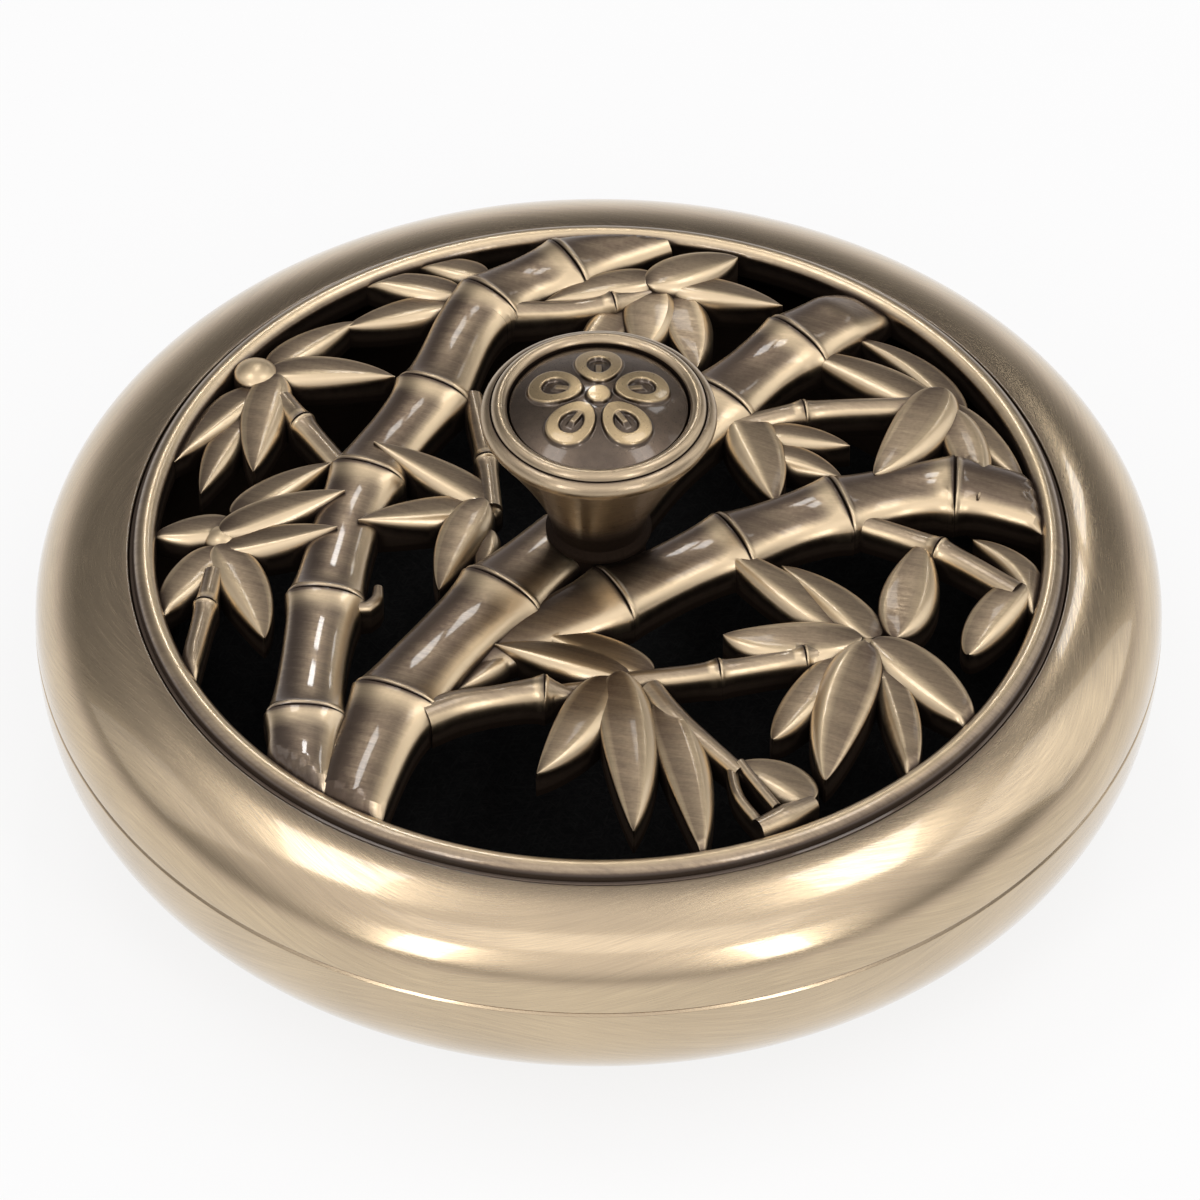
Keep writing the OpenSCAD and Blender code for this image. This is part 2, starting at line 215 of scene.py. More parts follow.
# %% From a grid to a closed mesh
def solid(name, grid, wrap_rows=False, capped=False, attributes=None, sharp=40):
    """A closed mesh from a grid of points in millimetres, rows by places round a ring.

    Point (i, j) joins (i + 1, j) and (i, j + 1), and the ring closes on itself. With
    wrap_rows the last row joins the first. With capped each end gets one flat face.
    Values in attributes are stored at the corners of faces, where a Boolean keeps them.
    """
    rows, ring = grid.shape[:2]
    number = np.arange(rows * ring).reshape(rows, ring)
    ahead = np.roll(number, -1, axis=1)
    this, after = (number, np.roll(number, -1, axis=0)) if wrap_rows else (number[:-1], number[1:])
    side, side_after = (ahead, np.roll(ahead, -1, axis=0)) if wrap_rows else (ahead[:-1], ahead[1:])
    quads = np.stack([this, side, side_after, after], axis=-1).reshape(-1, 4)
    corners, sizes = [quads.ravel()], [np.full(len(quads), 4)]
    if capped:
        corners += [number[0][::-1], number[-1]]
        sizes += [np.array([ring, ring])]
    corners, sizes = np.concatenate(corners), np.concatenate(sizes)

    mesh = bpy.data.meshes.new(name)
    mesh.vertices.add(rows * ring)
    mesh.vertices.foreach_set("co", (grid * mm).astype(np.float32).ravel())
    mesh.loops.add(len(corners))
    mesh.loops.foreach_set("vertex_index", corners.astype(np.int32))
    mesh.polygons.add(len(sizes))
    mesh.polygons.foreach_set("loop_start", (np.cumsum(sizes) - sizes).astype(np.int32))
    for key, values in (attributes or {}).items():
        stored = values.reshape(rows * ring, -1)[corners].astype(np.float32)
        kind, field = ("FLOAT_VECTOR", "vector") if stored.shape[1] == 3 else ("FLOAT", "value")
        mesh.attributes.new(key, kind, "CORNER").data.foreach_set(field, stored.ravel())
    mesh.update(calc_edges=True)

    shell = bmesh.new()
    shell.from_mesh(mesh)
    bmesh.ops.remove_doubles(shell, verts=shell.verts, dist=1e-6)
    bmesh.ops.recalc_face_normals(shell, faces=shell.faces)
    shell.to_mesh(mesh)
    shell.free()
    finish_shading(mesh, sharp)
    piece = bpy.data.objects.new(name, mesh)
    scene.collection.objects.link(piece)
    return piece


def finish_shading(mesh, sharp):
    """Smooth shading, with an edge left crisp where its faces meet at more than an angle."""
    mesh.shade_smooth()
    mesh.set_sharp_from_angle(angle=math.radians(sharp))


def triangles(piece):
    """Number of triangles in a piece."""
    sizes = np.zeros(len(piece.data.polygons), np.int32)
    piece.data.polygons.foreach_get("loop_total", sizes)
    return int((sizes - 2).sum())


# %% [markdown]
# ## Outlines of turned pieces
# The lid and the bowl have the full, slightly square curve of a superellipse, which
# an ellipse with its powers changed gives exactly. No cast or turned edge is truly
# sharp, so each corner of an outline is softened by a short parabola: it touches both
# of its sides and needs no more than the corner and its reach.

# %% Outline helpers
def smooth_step(value, low, high):
    """0 below low, 1 above high, and 3t^2 - 2t^3 between."""
    t = np.clip((value - low) / (high - low), 0, 1)
    return t * t * (3 - 2 * t)


def quarter(flat_r, flat_z, up_r, up_z, power, steps=64):
    """Quarter of a superellipse from its flat end to its upright end.

    r goes from flat_r to up_r with sin(t)^(2/power), and z comes back to up_z with
    cos(t)^(2/power), for t from 0 to 90 degrees.
    """
    turn = np.linspace(0, math.pi / 2, steps + 1)
    share = 2 / power
    return np.stack([flat_r + (up_r - flat_r) * np.sin(turn) ** share,
                     up_z + (flat_z - up_z) * np.abs(np.cos(turn)) ** share], axis=1)


def softened(corners, steps=4):
    """An outline whose corners, given with their reach, are replaced by short parabolas.

    For corner c, with unit vectors a and b towards its neighbours, the parabola is
    (1-t)^2 (c + reach a) + 2 t (1-t) c + t^2 (c + reach b).
    """
    points = np.asarray([point for point, _ in corners], float)
    reach = np.asarray([reach for _, reach in corners], float)[:, None]
    back = np.roll(points, 1, axis=0) - points
    ahead = np.roll(points, -1, axis=0) - points
    back /= np.linalg.norm(back, axis=1, keepdims=True) + 1e-12
    ahead /= np.linalg.norm(ahead, axis=1, keepdims=True) + 1e-12
    t = np.linspace(0, 1, steps + 1)[None, :, None]
    curve = ((1 - t) ** 2 * (points + reach * back)[:, None]
             + 2 * t * (1 - t) * points[:, None] + t ** 2 * (points + reach * ahead)[:, None])
    curve = curve.reshape(-1, 2)
    gap = np.linalg.norm(curve - np.roll(curve, 1, axis=0), axis=1)
    gap[0] = 1
    return curve[gap > 1e-6]


def as_drawn(curve):
    """The points of a curve as corners with no rounding."""
    return [(point, 0) for point in curve]


def full_turn(around):
    """Angles once round the axis, as one row."""
    return np.linspace(0, 2 * math.pi, around, endpoint=False)[None, :]


def lathe(name, outline, grime_and_shade, closed=False, around=360, wave=3.5, waves=5, shine=0.0, wear_and_painted_light=None):
    """A turned piece: the outline (r, z) carried round the vertical axis.

    Each corner keeps two brush coordinates, for lines that run round the piece at a
    slight slant: (k cos a, k sin a, s + w sin(n a)) and the same with -w, where a is
    the angle round the axis, s the distance along the outline, w the wave and n the
    number of waves. It keeps the grime and painted shade, and the rubbing and painted
    light, given for the outline, and how polished the piece is.
    """
    turn = full_turn(around)
    r, z = outline[:, :1], outline[:, 1:]
    grid = np.stack([r * np.cos(turn), r * np.sin(turn), z + 0 * turn], axis=-1)
    steps = np.linalg.norm(np.diff(outline, axis=0), axis=1)
    along = np.concatenate([[0], np.cumsum(steps)])[:, None]
    slow = 14.0
    both = {}
    for key, sign in [("brush_a", 1), ("brush_b", -1)]:
        slant = along + sign * wave * np.sin(waves * turn + 1.3 * sign)
        both[key] = np.stack(np.broadcast_arrays(slow * np.cos(turn), slow * np.sin(turn), slant), axis=-1)
    both["grime_and_shade"] = np.clip(grime_and_shade, 0, 1)[:, None] + 0 * turn
    both["polish"] = np.full(grid.shape[:2], shine)
    both["wear_and_painted_light"] = (np.zeros(len(outline)) if wear_and_painted_light is None else wear_and_painted_light)[:, None] + 0 * turn
    piece = solid(name, grid, wrap_rows=closed, attributes=both)
    print(f"{name}: {len(outline)} outline points, {triangles(piece)} triangles")
    return piece


# %% [markdown]
# ## The lid ring
# This is the rounded brass ring that fills most of the view. On the real object it is
# a thin casting, brushed round and lacquered. The outside runs from the dark gap at
# the bead over the crown to the fine V at the joint. The inside has the seat for the
# pierced casting and the lip that goes down into the bowl. One closed outline holds
# all of that, so the ring also looks right when the lid is off.

# %% Sizes shared by bowl and lid
ring_low, _ = span("lid_ring")
bowl_low, bowl_high = span("base_bowl")
cast_low, cast_high = span("bamboo_casting")
mat_low, mat_high = span("fire_mat")
body_r = bowl_high[0]
seam_h = bowl_high[2]
belly_h = seam_h - 0.6
crown_h = belly_h + 9.35
wall = 2.4
seam_bevel = 0.3
opening_r = 46.9
crown_r = opening_r - 1
bead_r = opening_r + 2.5
ring_edge_r = bead_r + 0.4
flange_r = cast_high[0]
seat_r = flange_r + 0.2
seat_h = crown_h - 3.05
flange_under = cast_low[2]
cavity_r = body_r - wall
spigot_r = cavity_r - 0.25
spigot_inner = spigot_r - 1.75
spigot_low = ring_low[2]
shoulder_h = seam_h + 3
lid_power, bowl_power = 2.54, 2.45


def between(curve, low_r=-1, high_r=999, low_z=-1, high_z=999):
    """The part of a curve inside given limits of r and z."""
    r, z = curve.T
    return curve[(r > low_r) & (r < high_r) & (z > low_z) & (z < high_z)]


def at_r(curve, r):
    """Height of a curve at a radius, by straight steps between its points."""
    order = np.argsort(curve[:, 0])
    return float(np.interp(r, curve[order, 0], curve[order, 1]))


def at_z(curve, z):
    """Radius of a curve at a height, by straight steps between its points."""
    order = np.argsort(curve[:, 1])
    return float(np.interp(z, curve[order, 1], curve[order, 0]))


# %% Make the lid ring
outside = quarter(crown_r, crown_h, body_r, belly_h, lid_power, 90)
inside = quarter(crown_r, crown_h - wall, cavity_r, belly_h, lid_power, 40)
v_top = seam_h + seam_bevel
outer_run = between(outside, low_r=ring_edge_r + 0.35, low_z=v_top + 0.12)
inner_run = between(inside, low_r=seat_r + 0.1, low_z=shoulder_h + 0.1)
corners = [
    ((ring_edge_r, at_r(outside, ring_edge_r)), 0.22),
    *as_drawn(outer_run),
    ((at_z(outside, v_top), v_top), 0.10),
    ((body_r - seam_bevel, seam_h), 0.06),
    ((spigot_r, seam_h), 0.15),
    ((spigot_r, spigot_low), 0.3),
    ((spigot_inner, spigot_low), 0.3),
    ((spigot_inner, shoulder_h), 0.3),
    ((at_z(inside, shoulder_h), shoulder_h), 0.3),
    *as_drawn(inner_run[::-1]),
    ((seat_r, at_r(inside, seat_r)), 0.1),
    ((seat_r, seat_h), 0.08),
    ((ring_edge_r, seat_h), 0.1),
]
ring_outline = softened(corners)
r, z = ring_outline.T
# Near the bead the ring is darkened as painted shadow, and the seam is a dark joint. The inside of the ring
# is painted dark as painted shade.
ring_shadow_and_seam = 0.62 * np.exp(-np.abs(r - ring_edge_r) / 1.4) * (z > crown_h - 2)
ring_shadow_and_seam = ring_shadow_and_seam + 0.35 * np.exp(-np.abs(z - seam_h) / 0.12)
hidden = (r < spigot_r + 0.02) & (z < seat_h + 0.02)
lid_ring = lathe("brass_lid_ring", ring_outline, np.where(hidden, 1.0, ring_shadow_and_seam), closed=True)

# %% [markdown]
# ## The bowl, its pad and the fire mat
# The bowl carries the same brushed curve down to the table. A foot ring stands inside
# it, out of sight from above, with a soft pad glued in. Within the bowl lies a loose
# black mat of ceramic fibre, which takes the coil: that mat is the flat black seen
# through the bamboo. A mat of felted fibre is never quite flat or quite round, so its
# grid is moved by a few slow waves.

# %% Make the bowl
foot_r, foot_inner = 36.0, 32.3
foot_low = bowl_low[2]
under_h = 1.5
floor_r, floor_h = 41.0, mat_low[2]
belly = quarter(foot_r, under_h, body_r, belly_h, bowl_power, 90)
well = quarter(floor_r, floor_h, cavity_r, belly_h, bowl_power, 40)
v_low = seam_h - seam_bevel
upper_belly = between(outside, low_z=belly_h + 0.01, high_z=v_low - 0.1)
corners = [
    ((0, under_h), 0),
    ((foot_inner, under_h), 0.2),
    ((foot_inner, foot_low), 0.25),
    ((foot_r, foot_low), 0.35),
    ((foot_r, under_h), 0.2),
    *as_drawn(belly[2:]),
    *as_drawn(upper_belly[::-1]),
    ((at_z(outside, v_low), v_low), 0.08),
    ((body_r - seam_bevel, seam_h), 0.1),
    ((cavity_r, seam_h), 0.25),
    *as_drawn(well[::-1]),
    ((0, floor_h), 0),
]
bowl_outline = softened(corners)
r, z = bowl_outline.T
# The inside of the bowl is painted dark as painted shade; the seam is a dark joint.
in_well = (np.arange(len(z)) > np.argmax(z)) & (r < cavity_r + 0.2)
seam_grime = 0.35 * np.exp(-np.abs(z - seam_h) / 0.12)
bowl = lathe("brass_bowl", bowl_outline, np.where(in_well, 1.0, seam_grime))

# %% Make the pad and the mat
_, pad_high = span("base_pad")
pad_r = 31.9


def ripple(x, y, parts, seed):
    """A gentle uneven height: a sum of plane waves of random direction and length."""
    draw = np.random.default_rng(seed)
    angle = draw.uniform(0, 2 * math.pi, parts)
    length = draw.uniform(4, 22, parts)
    phase = draw.uniform(0, 6, parts)
    waves = (x[..., None] * np.cos(angle) + y[..., None] * np.sin(angle)) * 2 * math.pi / length
    return np.sin(waves + phase).mean(axis=-1)


def felt_disc(name, r, low, high, edge, lift, waves, around=240):
    """A flat disc of felt, with rounded edges and a top that swells and dips a little.

    The outline goes from the centre below, round the edge and back to the centre above.
    The height of each point gets waves times a sum of slow plane waves, faded out
    towards the underside.
    """
    rings = np.linspace(0, 1, 26)
    bottom = np.stack([rings * (r - edge), low + lift * rings ** 6], axis=1)
    turn = np.linspace(-math.pi / 2, math.pi / 2, 13)[1:-1]
    middle, half = (low + lift + high) / 2, (high - low - lift) / 2
    rim = np.stack([r - edge + edge * np.cos(turn), middle + half * np.sin(turn)], axis=1)
    top = np.stack([rings[::-1] * (r - edge), np.full(26, high)], axis=1)
    outline = np.concatenate([bottom, rim, top])
    angle = full_turn(around)
    radius, z = outline[:, :1], outline[:, 1:]
    x, y = radius * np.cos(angle), radius * np.sin(angle)
    upper = np.clip((z - low) / (high - low), 0, 1)
    grid = np.stack([x, y, z + upper * waves * (ripple(x, y, 9, 4) - 0.6)], axis=-1)
    wobble = 1 - 0.004 * (1 + np.sin(3 * angle + 1)) * upper
    grid[..., :2] *= wobble[..., None]
    return solid(name, grid)


base_pad = felt_disc("foam_pad", pad_r, 0.0, pad_high[2], 0.6, 0.0, 0.0)
fire_mat = felt_disc("fibre_mat", mat_high[1], mat_low[2], mat_high[2], 1.0, 0.8, 0.12)
print("pad and mat:", triangles(base_pad), triangles(fire_mat), "triangles")

# %% [markdown]
# ## The knob
# The knob is turned from bar: a flared stem, a rounded rim, a fine groove, a raised
# lip and a recess for the medallion. A blind threaded hole goes up from below. It is
# one outline again, with the flare as a power curve, because a lathe tool that swings
# outwards leaves just such a shape.

# %% Make the knob
knob_low, knob_high = span("knob_body")
knob_r, hub_top, knob_top = knob_high[0], knob_low[2], knob_high[2]
stem_r = 5.6
recess_r = 9.55
recess_floor = knob_top - 2.2
rim_w = 1.1
groove_r = knob_r - rim_w
rim_z = knob_top - 1.8
lip_w = groove_r - recess_r
bore_r = 2.05
bore_top = hub_top + 8
up = np.linspace(0, 1, 40)
flare_low = hub_top + 1.2
waist_r = stem_r - 0.6
flare = np.stack([waist_r + (knob_r - rim_w / 2 - waist_r) * up ** 1.35,
                  flare_low + (rim_z - 1.2 - flare_low) * up], axis=1)
turn = np.radians(np.linspace(-40, 84, 18))
rim = np.stack([groove_r + rim_w * np.cos(turn), rim_z + rim_w * np.sin(turn)], axis=1)
turn = np.linspace(0, math.pi, 20)
lip = np.stack([recess_r + lip_w / 2 * (1 + np.cos(turn)),
                knob_top - lip_w / 2 * (1 - np.sin(turn))], axis=1)
corners = [
    ((bore_r, hub_top), 0.2),
    ((stem_r, hub_top), 0.15),
    ((stem_r, hub_top + 0.5), 0.15),
    *as_drawn(flare),
    *as_drawn(rim),
    ((groove_r + 0.05, rim_z + 0.1), 0.05),
    *as_drawn(lip),
    ((recess_r, recess_floor), 0.15),
    ((0, recess_floor), 0),
]
knob_outline = softened(corners)
knob_outline = np.concatenate([[(0, bore_top), (bore_r, bore_top)], knob_outline])
r, z = knob_outline.T
in_groove = np.exp(-np.abs(r - groove_r) / 0.22) * (z > rim_z - 0.2) * (z < knob_top - 0.6)
in_recess = (r < recess_r + 0.06) & (z > recess_floor - 0.05) & (z < knob_top - 0.5)
# The stem darkens towards its foot under the rim: painted shade.
painted_stem_shade = 1.1 * smooth_step(hub_top + 8.5 - z, 0, 7)
knob = lathe("brass_knob", knob_outline, in_groove + in_recess + painted_stem_shade, around=256, wave=0.5, waves=3)

# %% [markdown]
# ## The medallion
# A domed disc lies in the knob's recess. It bears a plain flower of five petals in low
# relief, dark in the ground and rubbed bright on top. Relief of this kind is a height
# field: for each point of the dome the script measures how far it is from the edge of
# the nearest shape, and a smooth step over a fraction of a millimetre turns that
# distance into a flat-topped, soft-edged wall.

# %% Make the medallion
disc_low, disc_high = span("knob_medallion")
disc_r = 9.45
disc_edge = disc_low[2] + 1.4
dome = 1.8
flower_rise = disc_high[2] - disc_edge - dome


def flower(x, y):
    """Share of the full relief at each point, from 0 in the ground to 1 on the lines.

    Five petals stand round a heart. A petal is an oval about a point on its own axis,
    and its line is the band where the oval's distance is near 1. The heart is a small
    disc with a ring round it.
    """
    petals, band = 5, 0.5
    angle, away = np.arctan2(y, x), np.hypot(x, y)
    sector = 2 * math.pi / petals
    own = (angle - math.pi / 2 + sector / 2) % sector - sector / 2
    ahead, side = away * np.cos(own), away * np.sin(own)
    centre, long, wide = 4.75, 2.55, 2.15
    narrowing = 1 + 0.16 * (ahead - centre) / long
    oval = np.hypot((ahead - centre) / long, side / (wide * narrowing))
    edge_gap = np.abs(oval - 0.86) * wide
    petal_line = 1 - smooth_step(edge_gap, band, band + 0.28)
    vein = (1 - smooth_step(np.abs(side), 0.25, 0.5)) * smooth_step(ahead, 2.9, 3.3)
    vein = vein * (1 - smooth_step(ahead, 4.6, 5.4))
    heart = 1 - smooth_step(away, 1.15, 1.45)
    return np.clip(np.maximum.reduce([petal_line, 0.75 * vein, heart]), 0, 1)


radii = np.concatenate([np.linspace(0, 8.7, 108), np.linspace(8.75, disc_r - 0.12, 8)])
angle = full_turn(384)
dome_r = (disc_r ** 2 + dome ** 2) / (2 * dome)
away = radii[:, None] + 0 * angle
x, y = away * np.cos(angle), away * np.sin(angle)
bare = disc_edge + dome - dome_r + np.sqrt(dome_r ** 2 - away ** 2)
relief = flower(x, y)
top = np.stack([x, y, bare + flower_rise * relief], axis=-1)
edge_r = np.array([disc_r, disc_r, disc_r - 0.2, 0.0])[:, None] + 0 * angle
edge_z = np.array([disc_edge - 0.12, disc_low[2] + 0.2, disc_low[2], disc_low[2]])[:, None] + 0 * angle
rest = np.stack([edge_r * np.cos(angle), edge_r * np.sin(angle), edge_z], axis=-1)
shape = np.concatenate([top, rest])
rubbed = np.concatenate([relief, 0 * edge_r])
medallion = solid("flower_medallion", shape, attributes={"relief": rubbed}, sharp=50)
print("medallion:", triangles(medallion), "triangles")

# %% [markdown]
# ## The bamboo casting
# The heart of the object is one casting: a bead round its edge, three bamboo canes,
# thin twigs and some fifty leaves, all with upright walls and one flat underside. It
# could be sculpted, or raised from a height map, but a height map has no upright
# walls. Here each cane, twig and leaf is its own closed surface, and a Boolean union
# joins them, which leaves the same crisp lines at each overlap as the real casting.
#
# All of them come from one idea: a line on the drawing plane, and a ring of points
# carried along it. The line goes through the drawn points as a smooth curve.

# %% Lines through drawn points
underside = seat_h + 0.8
sunk = underside - 1.0


def smooth_line(points, at):
    """Points on a smooth curve through the drawn points, at distances along its chords.

    Each stretch is a cubic Hermite curve, whose slope at a point is the mean slope of
    its two neighbours there.
    """
    points = np.asarray(points, float)
    chord = np.linalg.norm(np.diff(points, axis=0), axis=1)
    place = np.concatenate([[0], np.cumsum(chord)])
    slope = np.gradient(points, place, axis=0)
    i = np.clip(np.searchsorted(place, at, side="right") - 1, 0, len(chord) - 1)
    span_of = chord[i][:, None]
    t = ((at - place[i]) / chord[i])[:, None]
    return ((2 * t ** 3 - 3 * t ** 2 + 1) * points[i] + (t ** 3 - 2 * t ** 2 + t) * span_of * slope[i]
            + (3 * t ** 2 - 2 * t ** 3) * points[i + 1] + (t ** 3 - t ** 2) * span_of * slope[i + 1])


def sideways(line):
    """Unit vectors to the left of a line's direction."""
    ahead = np.gradient(line, axis=0)
    ahead /= np.linalg.norm(ahead, axis=1, keepdims=True)
    return np.stack([-ahead[:, 1], ahead[:, 0]], axis=1)


# %% [markdown]
# ### Canes and twigs
# A bamboo cane is a chain of internodes. Each is waisted in the middle and flares to
# its nodes. At a node a rolled collar stands on the far side, and the surface drops
# from it into a fine groove. The casting is shallow: its canes are low arches on
# upright walls, not half tubes. The flare, the collar and the groove are formulas of
# the distance to the nearest node, and the rows of the grid crowd together there.
# Each point also says how polished, how dirty and how rubbed the metal is, and how
# much painted shade and painted highlight it carries.

# %% Cane surface
wall_drop = 1.3


def bell(distance, width):
    """A smooth bump of height 1 at distance 0: e^(-(distance / width)^2)."""
    return np.exp(-(distance / width) ** 2)


def settled(grid, low=28.3, fade_from=46.1, fade_to=47.5):
    """Brings a top surface down to the bead, so that it runs in under the bead's crest.

    The height above low fades out by a smooth step of the radius.
    """
    away = np.hypot(grid[..., 0], grid[..., 1])
    above = np.maximum(grid[..., 2] - low, 0)
    grid[..., 2] -= above * smooth_step(away, fade_from, fade_to)
    return grid


def walled(name, top, dirt, shine, wear_and_painted_light):
    """Closes a top surface with upright walls, which reach down to below the underside."""
    edges = top[:, [-1, 0]]
    high, low = edges.copy(), edges.copy()
    high[..., 2] -= wall_drop
    low[..., 2] = sunk
    grid = np.concatenate([top, high[:, :1], low, high[:, 1:]], axis=1)
    # The walls are darkened: partly patina that the brush leaves on them, partly painted shade.
    on_walls = {"grime_and_shade": [0.75, 1.0, 1.0, 0.75], "polish": [0.0] * 4, "wear_and_painted_light": [0.0] * 4}
    on_top = {"grime_and_shade": dirt, "polish": shine, "wear_and_painted_light": wear_and_painted_light}
    kept = {key: np.concatenate([on_top[key], np.tile(walls, (len(top), 1))], axis=1)
            for key, walls in on_walls.items()}
    return solid(name, grid, capped=True, attributes=kept)


def cane(name, points, half_w, arch=1.7, level=28.7, power=2.3, flare=0.27, detail=1.0, lift=0.0, thick=1.0,
         bends=(), shine=0.3, worn=-0.62):
    """A cane or twig along a smooth line through its nodes.

    With d the distance past the nearest node, the half width is half_w (1 + flare
    e^(-|d| / reach)), and the top is level + arch (1 - |c|^power)^(1/power), where c
    runs from -1 to 1 across. A collar, a bell at d = 0.42, stands beyond each node,
    and a groove, a narrower bell at d = 0, lies in front of it. Points whose numbers
    are in bends are no nodes. lift, thick and shine are heights, factors and gloss at
    the points, and worn is how bright the whole is rubbed. The collars are rubbed
    brighter than the rest. The near edge, the far edge and the stretch in front of each
    node are brightened as painted highlight, and the far half is darkened as painted shade.
    and the nodes are rubbed brighter than the rest.
    """
    row_step = 0.9
    ring_steps = 26 if half_w > 2 else 14
    points = np.asarray(points, float)
    chord = np.concatenate([[0], np.cumsum(np.linalg.norm(np.diff(points, axis=0), axis=1))])
    nodes = np.array([chord[i] for i in range(1, len(points) - 1) if i not in bends] or [-99.0])
    close_by = np.concatenate([np.linspace(-0.3, 1.0, 20), [-2.4, -1.6, -1.0, -0.6, 1.4, 2.0]]) * detail
    at_nodes = (nodes[:, None] + close_by).ravel()
    rows = np.concatenate([np.arange(0, chord[-1], row_step), [chord[-1]], at_nodes])
    rows = np.unique(np.round(rows[(rows >= 0) & (rows <= chord[-1])], 3))
    rows = rows[np.concatenate([[True], np.diff(rows) > 0.02])]
    line = smooth_line(points, rows)
    left = sideways(line)

    gap = rows[:, None] - nodes[None, :]
    past = gap[np.arange(len(rows)), np.abs(gap).argmin(axis=1)]
    widening = np.exp(-np.abs(past) / (0.70 * half_w)) * np.where(past < 0, 1.0, 0.86)
    collar, groove = bell(past - 0.42 * detail, 0.27 * detail), bell(past, 0.11 * detail)
    bulk, raised, gloss = [np.interp(rows, chord, np.broadcast_to(values, chord.shape))
                           for values in (thick, lift, shine)]
    half = half_w * bulk * (0.97 + flare * widening) + detail * (0.03 * collar - 0.05 * groove)
    rise = arch * bulk * (1 + 0.42 * widening) + detail * (0.20 * collar - 0.34 * groove)

    turn = np.linspace(0, math.pi, ring_steps)
    across = np.cos(turn)[None, :]
    round_top = (1 - np.abs(across) ** power) ** (1 / power)
    height = level + raised[:, None] + rise[:, None] * round_top
    flat = line[:, None, :] + left[:, None, :] * (across * half[:, None])[..., None]
    top = settled(np.concatenate([flat, height[..., None]], axis=-1))
    front = bell(past + 0.10 * detail, 0.17 * detail)
    dirt = 0.95 * front[:, None] * smooth_step(round_top, 0.25, 0.7)
    # Painted highlight along both edges and in front of each node, painted shade on the far half; the
    # collars are rubbed bright.
    near = np.sign(left @ np.array([-0.35, 0.94]))[:, None] * -across
    after = smooth_step(-past, 0.3, 0.8) * (1 - smooth_step(-past, 1.0, 0.9 * half_w))
    wear_and_painted_light = 1.4 * bell(near - 0.84, 0.20) + 0.9 * bell(near + 0.92, 0.10)
    wear_and_painted_light = wear_and_painted_light + after[:, None] + 0.8 * collar[:, None] - 0.3 * smooth_step(-near, 0, 0.8) + worn
    return walled(name, top, dirt, gloss[:, None] + 0 * dirt, np.clip(wear_and_painted_light, -1, 0.8))


# %% [markdown]
# ### Leaves
# A bamboo leaf is a long pointed oval. On this casting the leaves are like small
# pillows: a gentle fall from a soft ridge to a fine far edge, and a full rounded
# shoulder on the side that faces the viewer, which catches the light. Below both is
# an upright wall. Flat plates would show none of that, so the section is a formula
# too.

# %% Leaf surface
def leaf(name, base, tip, width, level, tip_level=None, bend=0.0, peak=0.32, ridge=0.42, crease=0.05,
         blunt=0.85, flip=False, lean=0.0):
    """A leaf from base to tip, with its half width and its section as formulas.

    Half width: u^a (1-u)^b, scaled to the full width, where u goes from base to tip,
    b = blunt, and a = b peak / (1 - peak) makes the leaf widest at peak. Section: v
    goes across from -1 on the near side to 1. Past the ridge at v = -ridge the near
    side drops by crease t + (1 - crease) (1 - sqrt(1 - t^2)), and the far side by a
    little s^1.5 and a small rounding, where t and s go from 0 at the ridge to 1 at
    the edges. lean tilts the whole section.
    """
    rows, drop = 32, 1.7
    base, tip = np.asarray(base, float), np.asarray(tip, float)
    u = (1 - np.cos(np.linspace(0, math.pi, rows))) / 2
    u = 0.003 + 0.994 * u
    way = tip - base
    left = np.array([-way[1], way[0]]) / np.linalg.norm(way)
    line = base + u[:, None] * way + bend * (4 * u * (1 - u))[:, None] * left
    sides = sideways(line)
    a = blunt * peak / (1 - peak)
    slim = (u / peak) ** a * ((1 - u) / (1 - peak)) ** blunt
    half = np.maximum(width / 2 * slim, 0.13)
    near = 1.0 if left @ np.array([0.2, -0.98]) > 0 else -1.0
    near = -near if flip else near

    t = np.sin(np.linspace(math.pi / 2, 0, 9))[:-1]
    s = np.sin(np.linspace(0, math.pi / 2, 11)) ** 0.9
    v = np.concatenate([-ridge - (1 - ridge) * t, -ridge + (1 + ridge) * s])
    shoulder = crease * t + (1 - crease) * (1 - np.sqrt(1 - t ** 2))
    far_edge = np.clip((s - 0.86) / 0.14, 0, 1)
    far_side = 0.42 * s ** 1.5 + 0.5 * (1 - np.sqrt(1 - far_edge ** 2))
    near_fall = drop * shoulder[None, :] * (0.22 + 0.78 * slim)[:, None]
    far_fall = far_side[None, :] * (0.35 + 0.65 * slim)[:, None]
    level_end = level if tip_level is None else tip_level
    crest = level + (level_end - level) * u ** 1.5 - 0.35 * u ** 4 - 0.35 * (1 - u) ** 6
    height = crest[:, None] - np.concatenate([near_fall, far_fall], axis=1)
    height = height + lean * v[None, :] * half[:, None]
    flat = line[:, None, :] - sides[:, None, :] * (near * half[:, None] * v[None, :])[..., None]
    top = settled(np.concatenate([flat, height[..., None]], axis=-1))
    edge_dirt = np.where(np.abs(v) > 0.995, 0.25, 0.0)[None, :] + 0.30 * ((1 - u) ** 5)[:, None]
    shine = 0.6 * smooth_step(-v, ridge - 0.05, ridge + 0.1)[None, :] + 0 * u[:, None]
    # The near shoulder and the far edge are brightened as painted highlight, and the far side is darkened a
    # little as painted shade.
    wear_and_painted_light = 1.8 * bell(v + 0.5 * (1 + ridge), 0.26) + 0.9 * bell(v - 0.85, 0.12) - 0.40
    wear_and_painted_light = wear_and_painted_light - 0.15 * smooth_step(v, -0.2, 0.7)
    return walled(name, top, edge_dirt, shine, np.clip(wear_and_painted_light, -1, 0.8)[None, :] + 0 * u[:, None])


# %% [markdown]
# ### The drawing
# Below is the drawing of the casting in plan, in millimetres from the axis, with x to
# the right and y away from the viewer. Canes and twigs are given by their nodes. The
# second and third lines are one cane, which passes under the knob.
# Each leaf has its base, its tip, its width, the height of its top at the base and at
# the tip, and a sideways bend. A few leaves also have other values of their own.

